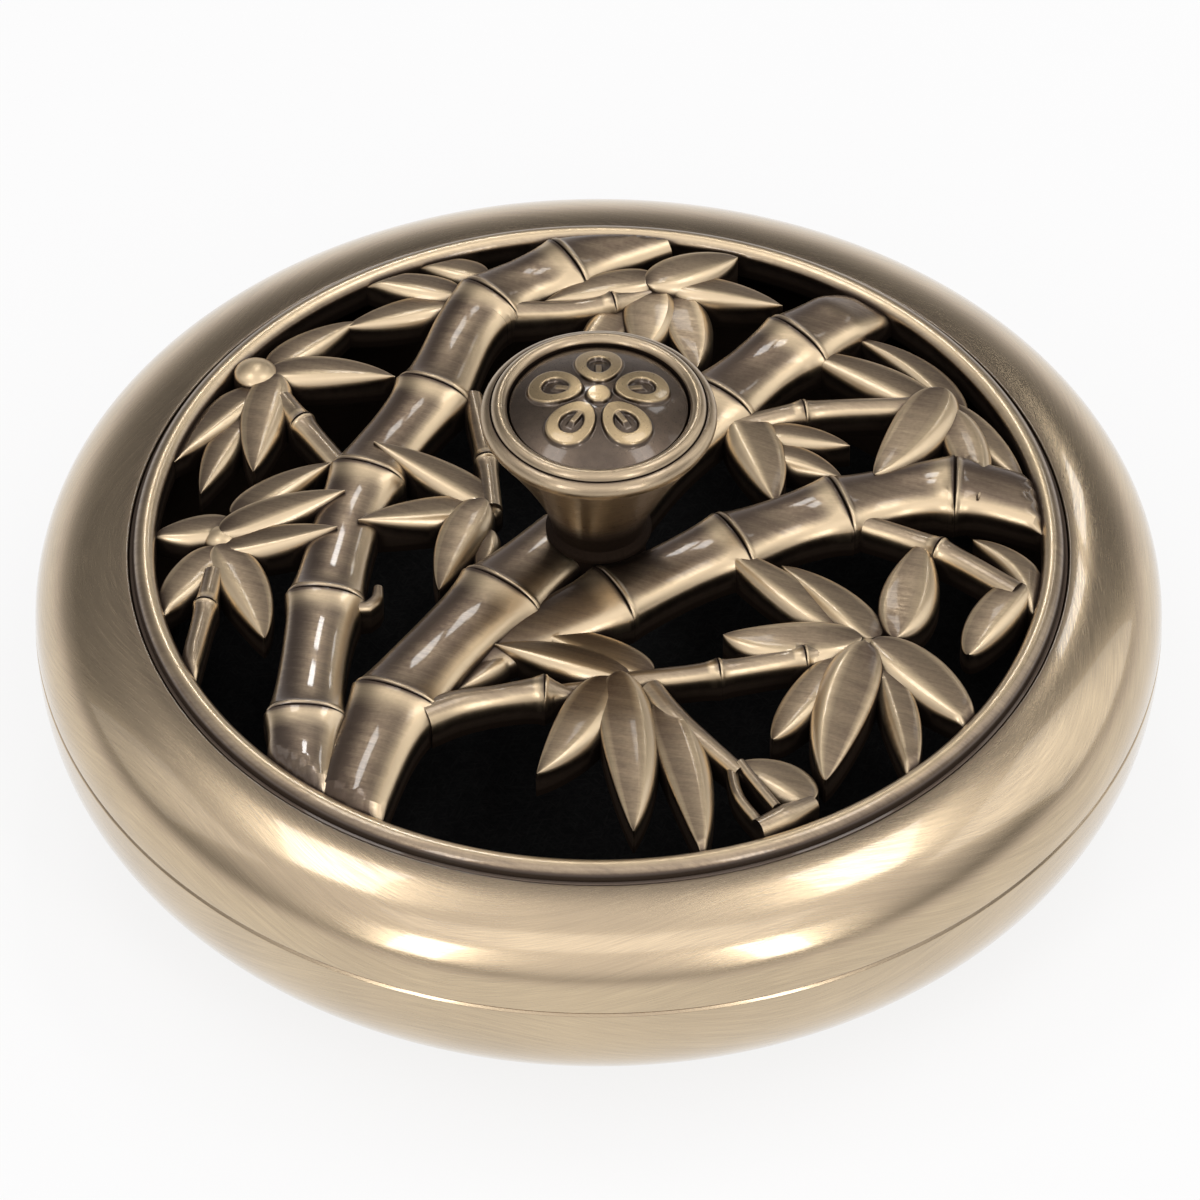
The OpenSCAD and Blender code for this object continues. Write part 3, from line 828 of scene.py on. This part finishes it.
# %% The plan of the bamboo
canes = [
    dict(points=[(-31, -44), (-30.4, -26.7), (-28.7, -9.4), (-24.6, 9.5), (-17.9, 22.5), (-11.8, 36.8),
                 (-3.4, 42.5), (6.5, 47.5)], half_w=3.6, shine=[1, 1, 0.8, 0.25, 0.2, 0.2, 0.2, 0.2]),
    dict(points=[(-27, -44.5), (-20.9, -24.3), (-10.3, -8.3), (-2.9, 0.6)], half_w=4.15,
         thick=[0.95, 1.05, 1.03, 1.0]),
    dict(points=[(0.5, 2.5), (6, 12), (13, 21), (21.5, 30.2), (26.2, 34.0), (30.2, 37.2), (34, 40.2)],
         half_w=3.95, bends=[1, 4, 5], lift=[0, 0, 0, 0, 0.1, -1.5, -2.6],
         thick=[1, 1, 1, 1, 1.03, 0.8, 0.6]),
    dict(points=[(-14, -16.5), (1.5, -8.8), (14.2, -0.7), (25.6, 4.7), (37.9, 7.6), (50, 3.6)], half_w=3.75,
         lift=[-1.8, 0, 0, 0, 0, 0]),
]
twigs = [
    dict(points=[(-34, 21.5), (-31.8, 17.8), (-26.5, 9.5)], half_w=1.3),
    dict(points=[(-40.6, -5), (-41.3, -10), (-43.2, -22)], half_w=1.15),
    dict(points=[(-13.6, 22), (-12, 12), (-11.3, 4.6)], half_w=1.15),
    dict(points=[(-11.5, 35.0), (-3, 35.6), (1.5, 36.6), (6, 38.5)], half_w=1.35, thick=[1.3, 0.95, 1, 0.8],
         bends=[1]),
    dict(points=[(13, 16.6), (22, 19.4), (34, 20.3)], half_w=1.35),
    dict(points=[(-18.2, -26.6), (-15, -24.9), (-11, -23.8), (-5.6, -22.9), (-2.0, -23.3)], half_w=1.5,
         thick=[1.35, 1.25, 1.05, 1.15, 0.3], bends=[1, 2]),
    dict(points=[(-6, -22.6), (3, -21)], half_w=0.9, level=28.2),
    dict(points=[(2, -21.5), (12.5, -19.8), (21.5, -17.8), (28, -16.6)], half_w=1.3),
    dict(points=[(5.4, -22.3), (7.6, -26.1), (11.2, -30.4), (14.6, -34.4)], half_w=1.25,
         thick=[1.1, 1.15, 0.9, 0.75], bends=[1, 2]),
    dict(points=[(25, 3.6), (36, -1.7), (44, -8)], half_w=1.35),
    dict(points=[(13.7, -33.8), (14.3, -37.4), (16.8, -42)], half_w=0.6, bends=[1]),
    dict(points=[(14.6, -33.4), (16.4, -36.6), (18.3, -39.8)], half_w=0.55, level=29.1, bends=[1]),
    dict(points=[(16.4, -42.6), (19.4, -40.7), (22.2, -38.7)], half_w=1.45, arch=1.4, thick=[0.9, 1.05, 0.6],
         bends=[1]),
    dict(points=[(-26.4, -9.4), (-24.6, -10.8), (-23.4, -9.6), (-23.2, -7.6)], half_w=0.75, arch=0.7,
         thick=[1.5, 1.1, 1.0, 0.7], level=29.0, bends=[1, 2]),
]
leaves = [
    ((-35.6, 25.4), (-21.9, 24.6), 4.7, 29.6, 29.7, 0.8),
    ((-35.6, 26.6), (-26.2, 34.0), 4.2, 29.2, 29.2, 0.3),
    ((-16.0, 36.9), (-27.7, 32.8), 4.4, 29.4, 29.2, -0.2),
    ((-36.8, 23.0), (-45.4, 12.1), 4.6, 29.5, 29.2, -0.5),
    ((-36.6, 21.9), (-42.4, 7.1), 4.4, 29.0, 29.0, -0.6),
    ((-34.6, 24.8), (-36.8, 9.9), 5.2, 29.9, 29.6, -0.4),
    ((-14.9, 37.7), (-26.3, 40.2), 4.2, 29.8, 29.5, -0.5),
    ((-12.2, 41.0), (-19.9, 43.4), 4.0, 29.6, 29.3, 0.0, dict(blunt=0.7)),
    ((-40.0, 0.6), (-26.9, 5.3), 4.7, 29.8, 31.3, 0.6),
    ((-40.0, -1.4), (-27.6, -0.2), 4.3, 29.4, 31.3, 0.3),
    ((-38.7, 3.6), (-28.3, 11.3), 4.4, 29.3, 29.7, 0.6),
    ((-38.6, 2.2), (-47.4, 0.9), 4.7, 29.2, 28.9, 0.0, dict(blunt=0.8)),
    ((-39.8, -1.4), (-46.7, -11.9), 4.9, 29.3, 29.1, -0.4),
    ((-40.3, -1.2), (-35.0, -15.1), 5.5, 29.6, 29.4, 0.8, dict(blunt=0.8)),
    ((-11.0, 5.0), (-24.0, 12.7), 4.7, 29.6, 31.4, -0.5),
    ((-11.9, 5.0), (-25.5, 0.8), 4.5, 29.4, 31.3, -0.5),
    ((-12.2, 5.4), (-16.8, -8.1), 5.1, 30.0, 29.6, -0.5),
    ((-11.6, 1.4), (-12.8, -5.0), 2.9, 29.2, 29.0, 0.3),
    ((3.4, 38.2), (-2.4, 28.6), 5.2, 29.0, 28.8, 0.2, dict(flip=True)),
    ((6.4, 39.7), (-5.9, 36.3), 4.6, 30.3, 29.9, -0.4),
    ((5.2, 38.5), (15.2, 43.2), 5.5, 30.5, 30.1, 0.3, dict(blunt=0.7, peak=0.4)),
    ((7.4, 39.3), (20.0, 35.7), 4.5, 29.9, 29.8, 0.4),
    ((5.8, 39.0), (4.6, 28.6), 6.2, 29.7, 29.5, 0.3, dict(ridge=0.6, crease=0.45)),
    ((8.5, 38.2), (10.5, 26.2), 5.4, 29.4, 29.2, 0.5, dict(ridge=0.6, crease=0.4)),
    ((36.2, 20.0), (21.2, 28.8), 4.8, 29.6, 29.8, -0.7),
    ((38.9, 19.1), (27.4, 31.6), 3.9, 29.2, 29.0, -1.7),
    ((36.9, 21.9), (29.3, 8.2), 6.4, 30.6, 30.8, 0.7, dict(blunt=0.7)),
    ((36.7, 20.5), (45.5, 8.0), 4.1, 29.7, 29.4, 0.5),
    ((37.6, 19.2), (40.2, 4.4), 4.9, 30.0, 30.8, 0.9),
    ((14.8, 19.2), (18.8, 5.2), 5.9, 30.0, 29.6, 0.5, dict(blunt=0.8)),
    ((17.0, 16.1), (26.9, 14.1), 3.9, 29.5, 29.4, 0.4, dict(blunt=0.8)),
    ((17.2, 13.9), (26.1, 9.0), 3.9, 29.2, 29.3, 0.6),
    ((2.9, -20.9), (-10.9, -16.1), 4.7, 29.9, 29.6, -0.5, dict(blunt=0.8)),
    ((5.4, -20.3), (-7.7, -13.0), 5.0, 29.5, 29.2, -0.5, dict(blunt=0.8)),
    ((1.0, -21.3), (-6.4, -35.2), 5.8, 30.1, 29.7, 0.6),
    ((2.1, -20.8), (3.6, -43.4), 6.2, 30.3, 29.7, 0.6, dict(ridge=0.45, crease=0.35)),
    ((6.5, -24.2), (10.7, -46.4), 5.3, 29.9, 29.5, 0.8, dict(ridge=0.45, crease=0.35)),
    ((-9.4, -15.6), (-15.2, -22.2), 4.0, 28.6, 28.6, 0.0),
    ((27.5, -15.5), (13.0, -14.8), 6.3, 30.1, 29.7, 1.0, dict(blunt=0.72, peak=0.40)),
    ((25.6, -13.6), (12.2, -1.9), 4.8, 29.2, 30.7, -0.4),
    ((28.9, -15.2), (19.3, -4.2), 5.0, 29.6, 29.4, -0.7, dict(blunt=0.7)),
    ((31.0, -15.6), (34.4, -0.3), 6.2, 29.9, 29.6, -0.2, dict(blunt=0.95, peak=0.42)),
    ((28.6, -15.9), (39.1, -28.3), 6.0, 30.1, 29.6, 0.7, dict(blunt=0.78, peak=0.38)),
    ((28.0, -16.7), (23.3, -36.2), 6.4, 30.5, 29.8, -0.7, dict(flip=True, blunt=0.78, peak=0.34)),
    ((26.5, -17.1), (18.0, -30.0), 4.8, 29.8, 29.5, -0.3, dict(blunt=0.65, peak=0.42)),
    ((29.3, -18.2), (32.3, -35.8), 4.0, 29.6, 29.3, 0.7, dict(flip=True, crease=0.3, blunt=0.8, peak=0.4)),
    ((46.4, -11.0), (39.6, -0.4), 3.6, 29.5, 29.5, -1.8, dict(blunt=0.6)),
    ((44.8, -6.9), (38.6, -17.4), 5.1, 29.7, 29.3, -0.5, dict(blunt=0.55, peak=0.4)),
    ((13.6, -33.4), (21.8, -38.6), 5.6, 29.2, 29.3, 1.0, dict(blunt=0.5, crease=0.5, peak=0.62)),
]
buds = [(-37.0, 25.3, 2.35, 30.1), (-39.9, 0.4, 1.9, 29.4), (6.2, 39.2, 1.5, 29.3), (14.0, 17.5, 1.6, 29.0),
        (3.2, -21.4, 1.6, 29.3), (28.1, -16.1, 1.5, 29.4), (-11.6, 5.0, 1.4, 29.2), (37.0, 20.0, 1.7, 29.3),
        (44.6, -8.2, 1.4, 28.9)]

# %% [markdown]
# ### Joining the casting
# The parts reach a millimetre below the underside, and a cylinder then cuts them to
# one flat face and to the clear opening. Cutting once is cleaner than building fifty
# solids with coplanar bottoms, which Boolean solvers dislike. The bead and its hidden
# flange are turned like the ring, and the screw holes are drilled last.

# %% Boolean helpers
def boolean(piece, other, operation):
    """Applies a Boolean to the piece's mesh and deletes the other object."""
    step = piece.modifiers.new("step", "BOOLEAN")
    step.solver, step.operation, step.object = "MANIFOLD", operation, other
    result = bpy.data.meshes.new_from_object(piece.evaluated_get(bpy.context.evaluated_depsgraph_get()))
    piece.modifiers.clear()
    old = piece.data
    piece.data = result
    bpy.data.meshes.remove(old)
    bpy.data.meshes.remove(other.data)
    return piece


def joined(pieces):
    """The union of many solids, taken in pairs until one is left."""
    while len(pieces) > 1:
        pairs = [boolean(a, b, "UNION") for a, b in zip(pieces[0::2], pieces[1::2])]
        pieces = pairs + pieces[len(pairs) * 2:]
    return pieces[0]


def drum(name, r, low, high, x=0.0, y=0.0, around=64, dome=0.0, dirt=0.0):
    """An upright cylinder as a closed grid of rings, with its top as a low dome if wanted.

    A domed top is a half ellipse of revolution: radius r sin(t) and height dome cos(t).
    """
    angle = full_turn(around)
    t = np.linspace(math.pi / 2, 0.06, 9) if dome else np.array([math.pi / 2])
    radius = np.concatenate([[r], r * np.sin(t)])[:, None]
    z = np.concatenate([[low], high - dome + dome * np.cos(t)])[:, None]
    grid = np.stack([x + radius * np.cos(angle), y + radius * np.sin(angle), z + 0 * angle], axis=-1)
    shade = np.full(grid.shape[:2], dirt)
    shade[0] = 1.0 if dome else dirt
    kept = {"grime_and_shade": shade, "polish": 0 * shade, "wear_and_painted_light": 0.5 - 0.5 * shade}
    return solid(name, grid, capped=True, attributes=kept)


# %% Make the casting
parts = [cane(f"cane_{i}", **values) for i, values in enumerate(canes)]
twig_form = dict(level=28.55, power=2.0, flare=0.28, detail=0.55, worn=-0.35)
for i, values in enumerate(twigs):
    parts.append(cane(f"twig_{i}", **({"arch": 0.95 * values["half_w"]} | twig_form | values)))
for i, values in enumerate(leaves):
    own = values[6] if len(values) > 6 else {}
    parts.append(leaf(f"leaf_{i}", *values[:6], lean=0.05 * math.sin(1.7 * i), **own))
for i, (x, y, r, high) in enumerate(buds):
    parts.append(drum(f"bud_{i}", r, sunk, high, x, y, 40, dome=1.1))
# The boss lies in the shade under the knob's stem; its grime of 0.95 is painted shade.
parts.append(drum("boss", 5.0, sunk, hub_top, around=96, dirt=0.95))
print(len(parts), "parts of the casting, with", sum(triangles(p) for p in parts), "triangles")

casting = joined(parts)
far_up, far_down = 40, 20
boolean(casting, drum("stem_room", stem_r + 0.15, hub_top, far_up, around=128), "DIFFERENCE")
boolean(casting, drum("clear_opening", opening_r + 1.0, underside, far_up, around=180), "INTERSECT")

# %% Turn the bead and drill the holes
bead_top = crown_h + 1.2
neck_r = opening_r + 1.5
turn = np.radians(np.linspace(8, 172, 18))
fine_r = bead_r - 0.1
roll_w = (fine_r - opening_r) / 2
roll = np.stack([opening_r + roll_w * (1 + np.cos(turn)),
                 bead_top - 0.9 * roll_w * (1 - np.sin(turn))], axis=1)
lip_r = bead_r + 0.3
corners = [
    ((lip_r, seat_h), 0.05),
    ((lip_r, crown_h - 0.34), 0.10),
    ((fine_r + 0.06, crown_h - 0.26), 0.04),
    *as_drawn(roll),
    ((opening_r, underside - 0.2), 0.15),
    ((neck_r, underside - 0.65), 0.1),
    ((neck_r, flange_under), 0.2),
    ((flange_r, flange_under), 0.2),
    ((flange_r, seat_h), 0.2),
]
bead_outline = softened(corners)
r, z = bead_outline.T
# Dark at the bead's outer joint, and painted shade lower down on its inner side.
bead_joint_and_shade = np.maximum.reduce([
    0.7 * bell(r - fine_r, 0.16) * (z > seat_h),
    smooth_step(bead_top - z, 1.2, 2.8) * (r < fine_r),
])
bead_rub = 1.2 * bell(r - opening_r - 0.75 * roll_w, 0.55) * (z > bead_top - 0.8) - 0.5
bead = lathe("bead", bead_outline, bead_joint_and_shade, closed=True, shine=0.6, wear_and_painted_light=bead_rub)
boolean(casting, bead, "UNION")
knob_hole_r, screw_hole_r = 2.25, 1.25
boolean(casting, drum("knob_hole", knob_hole_r, far_down, far_up, around=48), "DIFFERENCE")
screw_ring_r = bead_r + 2.2
for i in range(3):
    angle = math.radians(30 + 120 * i)
    x, y = screw_ring_r * math.cos(angle), screw_ring_r * math.sin(angle)
    boolean(casting, drum("screw_hole", screw_hole_r, far_down, far_up, x, y, 24), "DIFFERENCE")
casting.name = "brass_bamboo"
casting.data.name = "brass_bamboo"
finish_shading(casting.data, 34)
print("casting:", triangles(casting), "triangles")

# %% [markdown]
# ## Antiqued brass
# Antique brass is made by blackening a brass part, brushing the raised places bright
# again and lacquering the whole. So the shader has three layers. The metal's colour
# runs from near black in the crevices over brown to warm brass on the open faces. Its
# roughness and a very fine bump follow the brush lines. A clear coat lies over it and
# gives the small crisp lights: full on the ring, thin on the casting except where it
# is polished, and none where the metal is black. Where the brown stays is decided by
# ambient occlusion, which is dark in narrow places, by the slope of the face, and by
# the grime and the rubbing stored with the shapes. These also carry painted light:
# painted shade inside the bowl and the lid, under the knob, at the ring's inner edge
# and on the walls, and painted highlight on the near edges of canes and leaves. On the
# casting the low walls are painted black by their height, as painted shade.

# %% Shader helpers
brass_light = (0.66, 0.515, 0.33, 1)
brass_brown = (0.140, 0.099, 0.071, 1)
brass_dark = (0.026, 0.017, 0.012, 1)


def value_of(tree, name):
    """A number stored on a mesh under a name."""
    return add(tree, "ShaderNodeAttribute", attribute_name=name).outputs["Fac"]


def ramp(tree, value, low, high, to_low=0.0, to_high=1.0):
    """A straight ramp from one range of a value to another, held at its ends."""
    return add(tree, "ShaderNodeMapRange", {0: value, 1: low, 2: high, 3: to_low, 4: to_high}).outputs[0]


def total(tree, start, *terms, clamp=True):
    """start plus every term, which is a value and its factor, held between 0 and 1."""
    for i, (value, factor) in enumerate(terms):
        start = add(tree, "ShaderNodeMath", {0: value, 1: factor, 2: start}, operation="MULTIPLY_ADD",
                    use_clamp=clamp and i == len(terms) - 1).outputs[0]
    return start


def mix(tree, share, a, b):
    """A blend of two colours."""
    return add(tree, "ShaderNodeMix", {0: share, 6: a, 7: b}, data_type="RGBA").outputs[2]


def noise(tree, vector, scale, detail):
    """Cloudy noise between 0 and 1."""
    return add(tree, "ShaderNodeTexNoise", {"Vector": vector, "Scale": scale, "Detail": detail}).outputs[0]


def crevices(tree, reach, *limits):
    """How closed in a point is, 0 in the open and 1 in a crevice, by ambient occlusion."""
    shade = add(tree, "ShaderNodeAmbientOcclusion", {"Distance": reach * mm}, samples=8, only_local=True)
    return ramp(tree, shade.outputs["AO"], *limits)


def stretched(tree, vector, scale, degrees=0.0):
    """A vector turned about the vertical axis, then scaled along each axis."""
    if degrees:
        vector = add(tree, "ShaderNodeVectorRotate", {"Vector": vector, "Angle": math.radians(degrees)},
                     rotation_type="Z_AXIS").outputs[0]
    return add(tree, "ShaderNodeVectorMath", {0: vector, 1: scale}, operation="MULTIPLY").outputs[0]


def start_material(name):
    """A new material with an empty tree, and the socket of the place on the object."""
    made = bpy.data.materials.new(name)
    made.use_nodes = True
    made.node_tree.nodes.clear()
    return made, made.node_tree, add(made.node_tree, "ShaderNodeTexCoord").outputs["Object"]


def finish_material(made, inputs, height, deep, strength=1.0):
    """Ends a material with its shader, under a bump of a height that is deep millimetres."""
    tree = made.node_tree
    fine = add(tree, "ShaderNodeBump", {"Strength": strength, "Distance": deep * mm, "Height": height})
    shader = add(tree, "ShaderNodeBsdfPrincipled", inputs | {"Normal": fine.outputs[0]})
    add(tree, "ShaderNodeOutputMaterial", {"Surface": shader.outputs[0]})
    return made


# %% Brass shader
def antique_brass(name, vectors, rough, brown, bump, scratch, cloud, shiny=0.2, slope_brown=0.0, near=1.6,
                  anisotropic=0.0, black_below=None, thin_coat=1.0):
    """Brushed, antiqued and lacquered brass.

    vectors gives the two brush coordinate sockets of a tree. brown is how much of the
    brown layer stays on open faces, slope_brown how much more on upright ones, and
    scratch and cloud how much it varies with the brush lines and from place to place.
    near is the distance, in millimetres, over which crevices darken. Roughness goes
    from rough to shiny, and the coat from thin_coat to full, where the stored polish
    goes from 0 to 1. black_below gives the heights between which the metal goes black,
    as painted shade on the low walls.
    """
    made, tree, place = start_material(name)
    first, second = vectors(tree)
    lines = grey(tree, "ADD", noise(tree, first, 1.0, 4.0), noise(tree, second, 1.0, 4.0))
    lines = grey(tree, "MULTIPLY", lines, 0.5)
    if black_below:
        pebbles = noise(tree, place, 2.2 / mm, 3.0)
        lines = add(tree, "ShaderNodeMix", {0: 0.35, 2: lines, 3: pebbles}).outputs[0]
    streaks = grey(tree, "ADD", noise(tree, first, 0.22, 2.0), noise(tree, place, 0.09 / mm, 2.0))
    streaks = grey(tree, "MULTIPLY", streaks, 0.5)

    closed_in = crevices(tree, near, 0.90, 0.50)
    grime_and_shade = value_of(tree, "grime_and_shade")
    # Below these heights the metal goes black: painted shade on the low walls.
    if black_below:
        height = add(tree, "ShaderNodeSeparateXYZ", {0: place}).outputs["Z"]
        sunken = ramp(tree, height, black_below[0] * mm, black_below[1] * mm, 1.0, 0.0)
        grime_and_shade = grey(tree, "MAXIMUM", grime_and_shade, sunken)
    normal = add(tree, "ShaderNodeSeparateXYZ", {0: add(tree, "ShaderNodeNewGeometry").outputs["Normal"]})
    slope = ramp(tree, grey(tree, "ABSOLUTE", normal.outputs["Z"], 0.0), 0.5, 0.12, 0.0, slope_brown)
    uneven = ramp(tree, streaks, 0.38, 0.62, -cloud, cloud)
    marks = ramp(tree, lines, 0.36, 0.64, -scratch, scratch)
    stays = total(tree, brown, (uneven, 1.0), (marks, 1.0), (slope, 1.0), (value_of(tree, "wear_and_painted_light"), -0.8),
                  (closed_in, 0.7), (grime_and_shade, 0.8))
    black = total(tree, 0.0, (closed_in, 0.75), (grime_and_shade, 1.2), clamp=False)
    black = ramp(tree, black, 0.35, 1.15)
    colour = mix(tree, black, mix(tree, stays, brass_light, brass_brown), brass_dark)

    polish = value_of(tree, "polish")
    open_coat = ramp(tree, polish, 0.0, 1.0, thin_coat, 1.0)
    lacquer = grey(tree, "MULTIPLY", open_coat, ramp(tree, black, 0.2, 1.0, 1.0, 0.0))
    worn = total(tree, ramp(tree, polish, 0.0, 1.0, rough, shiny),
                 (ramp(tree, lines, 0.35, 0.65, -0.06, 0.08), 1.0), (black, 0.45))
    inputs = {"Base Color": colour, "Metallic": 1.0, "Roughness": worn, "Coat Weight": lacquer,
              "Coat Roughness": 0.05, "Coat IOR": 1.55, "Anisotropic": anisotropic}
    if anisotropic:
        inputs["Tangent"] = add(tree, "ShaderNodeTangent", direction_type="RADIAL", axis="Z").outputs[0]
    return finish_material(made, inputs, lines, bump)


def turned_brush(tree, per_mm=12.0):
    """Brush coordinates of a turned piece, from its two stored attributes."""
    return [stretched(tree, add(tree, "ShaderNodeAttribute", attribute_name=key).outputs["Vector"],
                      (1.0, 1.0, per_mm)) for key in ("brush_a", "brush_b")]


def straight_brush(tree, per_mm=5.0, long_mm=4.0, slants=(22, 8)):
    """Brush coordinates on flat castings: lines near the x direction, at two slants."""
    place = add(tree, "ShaderNodeTexCoord").outputs["Object"]
    scale = (1 / (long_mm * mm), per_mm / mm, 0.4 / mm)
    return [stretched(tree, place, scale, degrees) for degrees in slants]


ring_brass = antique_brass("brushed_ring_brass", turned_brush, rough=0.22, brown=0.20, bump=0.005,
                           scratch=0.10, cloud=0.07, anisotropic=0.4)
knob_brass = antique_brass("turned_knob_brass", turned_brush, rough=0.32, brown=0.44, bump=0.0004,
                           scratch=0.06, cloud=0.10, near=1.2, thin_coat=0.35)
cast_brass = antique_brass("cast_bamboo_brass", straight_brush, rough=0.36, brown=0.36, bump=0.004,
                           scratch=0.08, cloud=0.08, shiny=0.34, slope_brown=0.55, near=1.5,
                           black_below=(26.6, 28.9), thin_coat=0.15)
print("brass:", ring_brass.name, knob_brass.name, cast_brass.name)

# %% [markdown]
# ## The other finishes
# The medallion is darker than the rest: its ground keeps the brown, and the relief is
# rubbed bright. The mat is black ceramic fibre, a dull felt whose fibres show as fine
# noise. The pad is closed-cell foam with small pores. The screws and the washer are
# zinc-plated steel, turned or pressed, with a slight cloud in the plating.

# %% Make the other materials
def medallion_brass():
    """Dark brown ground, rubbed relief and black outlines, by the stored relief."""
    made, tree, place = start_material("rubbed_medallion_brass")
    grain = noise(tree, place, 9 / mm, 2.0)
    ground = mix(tree, noise(tree, place, 0.9 / mm, 4.0), (0.075, 0.054, 0.039, 1), (0.15, 0.110, 0.078, 1))
    rubbed_top = ramp(tree, value_of(tree, "relief"), 0.55, 0.95)
    colour = mix(tree, rubbed_top, ground, (0.46, 0.34, 0.19, 1))
    colour = mix(tree, crevices(tree, 0.7, 0.9, 0.5), colour, brass_dark)
    inputs = {"Base Color": colour, "Metallic": 1.0, "Roughness": ramp(tree, grain, 0.3, 0.7, 0.26, 0.38),
              "Coat Weight": 0.65, "Coat Roughness": 0.07}
    return finish_material(made, inputs, grain, 0.01, 0.6)


def black_felt():
    """Felted ceramic fibre: near black, rough, with fibres as stretched noise."""
    made, tree, place = start_material("black_fibre_felt")
    fibres = [noise(tree, stretched(tree, place, (5 / mm, 0.7 / mm, 2 / mm), degrees), 1.0, 2.0)
              for degrees in (20, 80, 140)]
    weave = grey(tree, "MAXIMUM", grey(tree, "MAXIMUM", fibres[0], fibres[1]), fibres[2])
    colour = mix(tree, ramp(tree, weave, 0.5, 0.8), (0.0035, 0.0035, 0.0038, 1), (0.014, 0.0135, 0.013, 1))
    inputs = {"Base Color": colour, "Roughness": 0.95, "Specular IOR Level": 0.15}
    return finish_material(made, inputs, weave, 0.12, 0.8)


def black_foam():
    """Closed-cell foam: dark grey, matt, with small round pores."""
    made, tree, place = start_material("black_foam")
    pores = add(tree, "ShaderNodeTexVoronoi", {"Vector": place, "Scale": 2.2 / mm})
    open_pore = ramp(tree, pores.outputs["Distance"], 0.15, 0.45)
    share = grey(tree, "MULTIPLY", open_pore, noise(tree, place, 0.25 / mm, 3.0))
    colour = mix(tree, share, (0.009, 0.009, 0.0095, 1), (0.034, 0.034, 0.036, 1))
    return finish_material(made, {"Base Color": colour, "Roughness": 0.85}, open_pore, 0.06, 0.5)


def plated_steel(name, rough):
    """Zinc-plated steel: cool grey, with a cloudy plating and fine scratches."""
    made, tree, place = start_material(name)
    cloud = noise(tree, place, 1.2 / mm, 4.0)
    colour = mix(tree, cloud, (0.42, 0.42, 0.41, 1), (0.62, 0.62, 0.60, 1))
    scatter = ramp(tree, cloud, 0.3, 0.7, rough - 0.06, rough + 0.08)
    inputs = {"Base Color": colour, "Metallic": 1.0, "Roughness": scatter}
    return finish_material(made, inputs, noise(tree, place, 12 / mm, 2.0), 0.006, 0.5)


# %% Give each piece its material and its body
def dress(piece, material, body, slot, *nodes):
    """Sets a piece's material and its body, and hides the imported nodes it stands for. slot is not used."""
    piece.data.materials.clear()
    piece.data.materials.append(material)
    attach(piece, body)
    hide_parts(*nodes)


dress(lid_ring, ring_brass, "lid", "brushed_brass", "lid_ring")
dress(bowl, ring_brass, "base", "brushed_brass", "base_bowl")
dress(casting, cast_brass, "lid", "cast_brass", "bamboo_casting")
dress(knob, knob_brass, "lid", "brushed_brass", "knob_body")
dress(medallion, medallion_brass(), "lid", "dark_brass", "knob_medallion")
dress(fire_mat, black_felt(), "mat", "fire_mat", "fire_mat")
dress(base_pad, black_foam(), "base", "base_pad", "base_pad")

screw_steel = plated_steel("plated_screw_steel", 0.34)
washer_steel = plated_steel("plated_washer_steel", 0.26)
steels = {"flange_screws": screw_steel, "knob_screw": screw_steel, "knob_washer": washer_steel}
for node, steel in steels.items():
    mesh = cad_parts[node].data
    mesh.materials.clear()
    mesh.materials.append(steel)
print("plated:", ", ".join(steels))
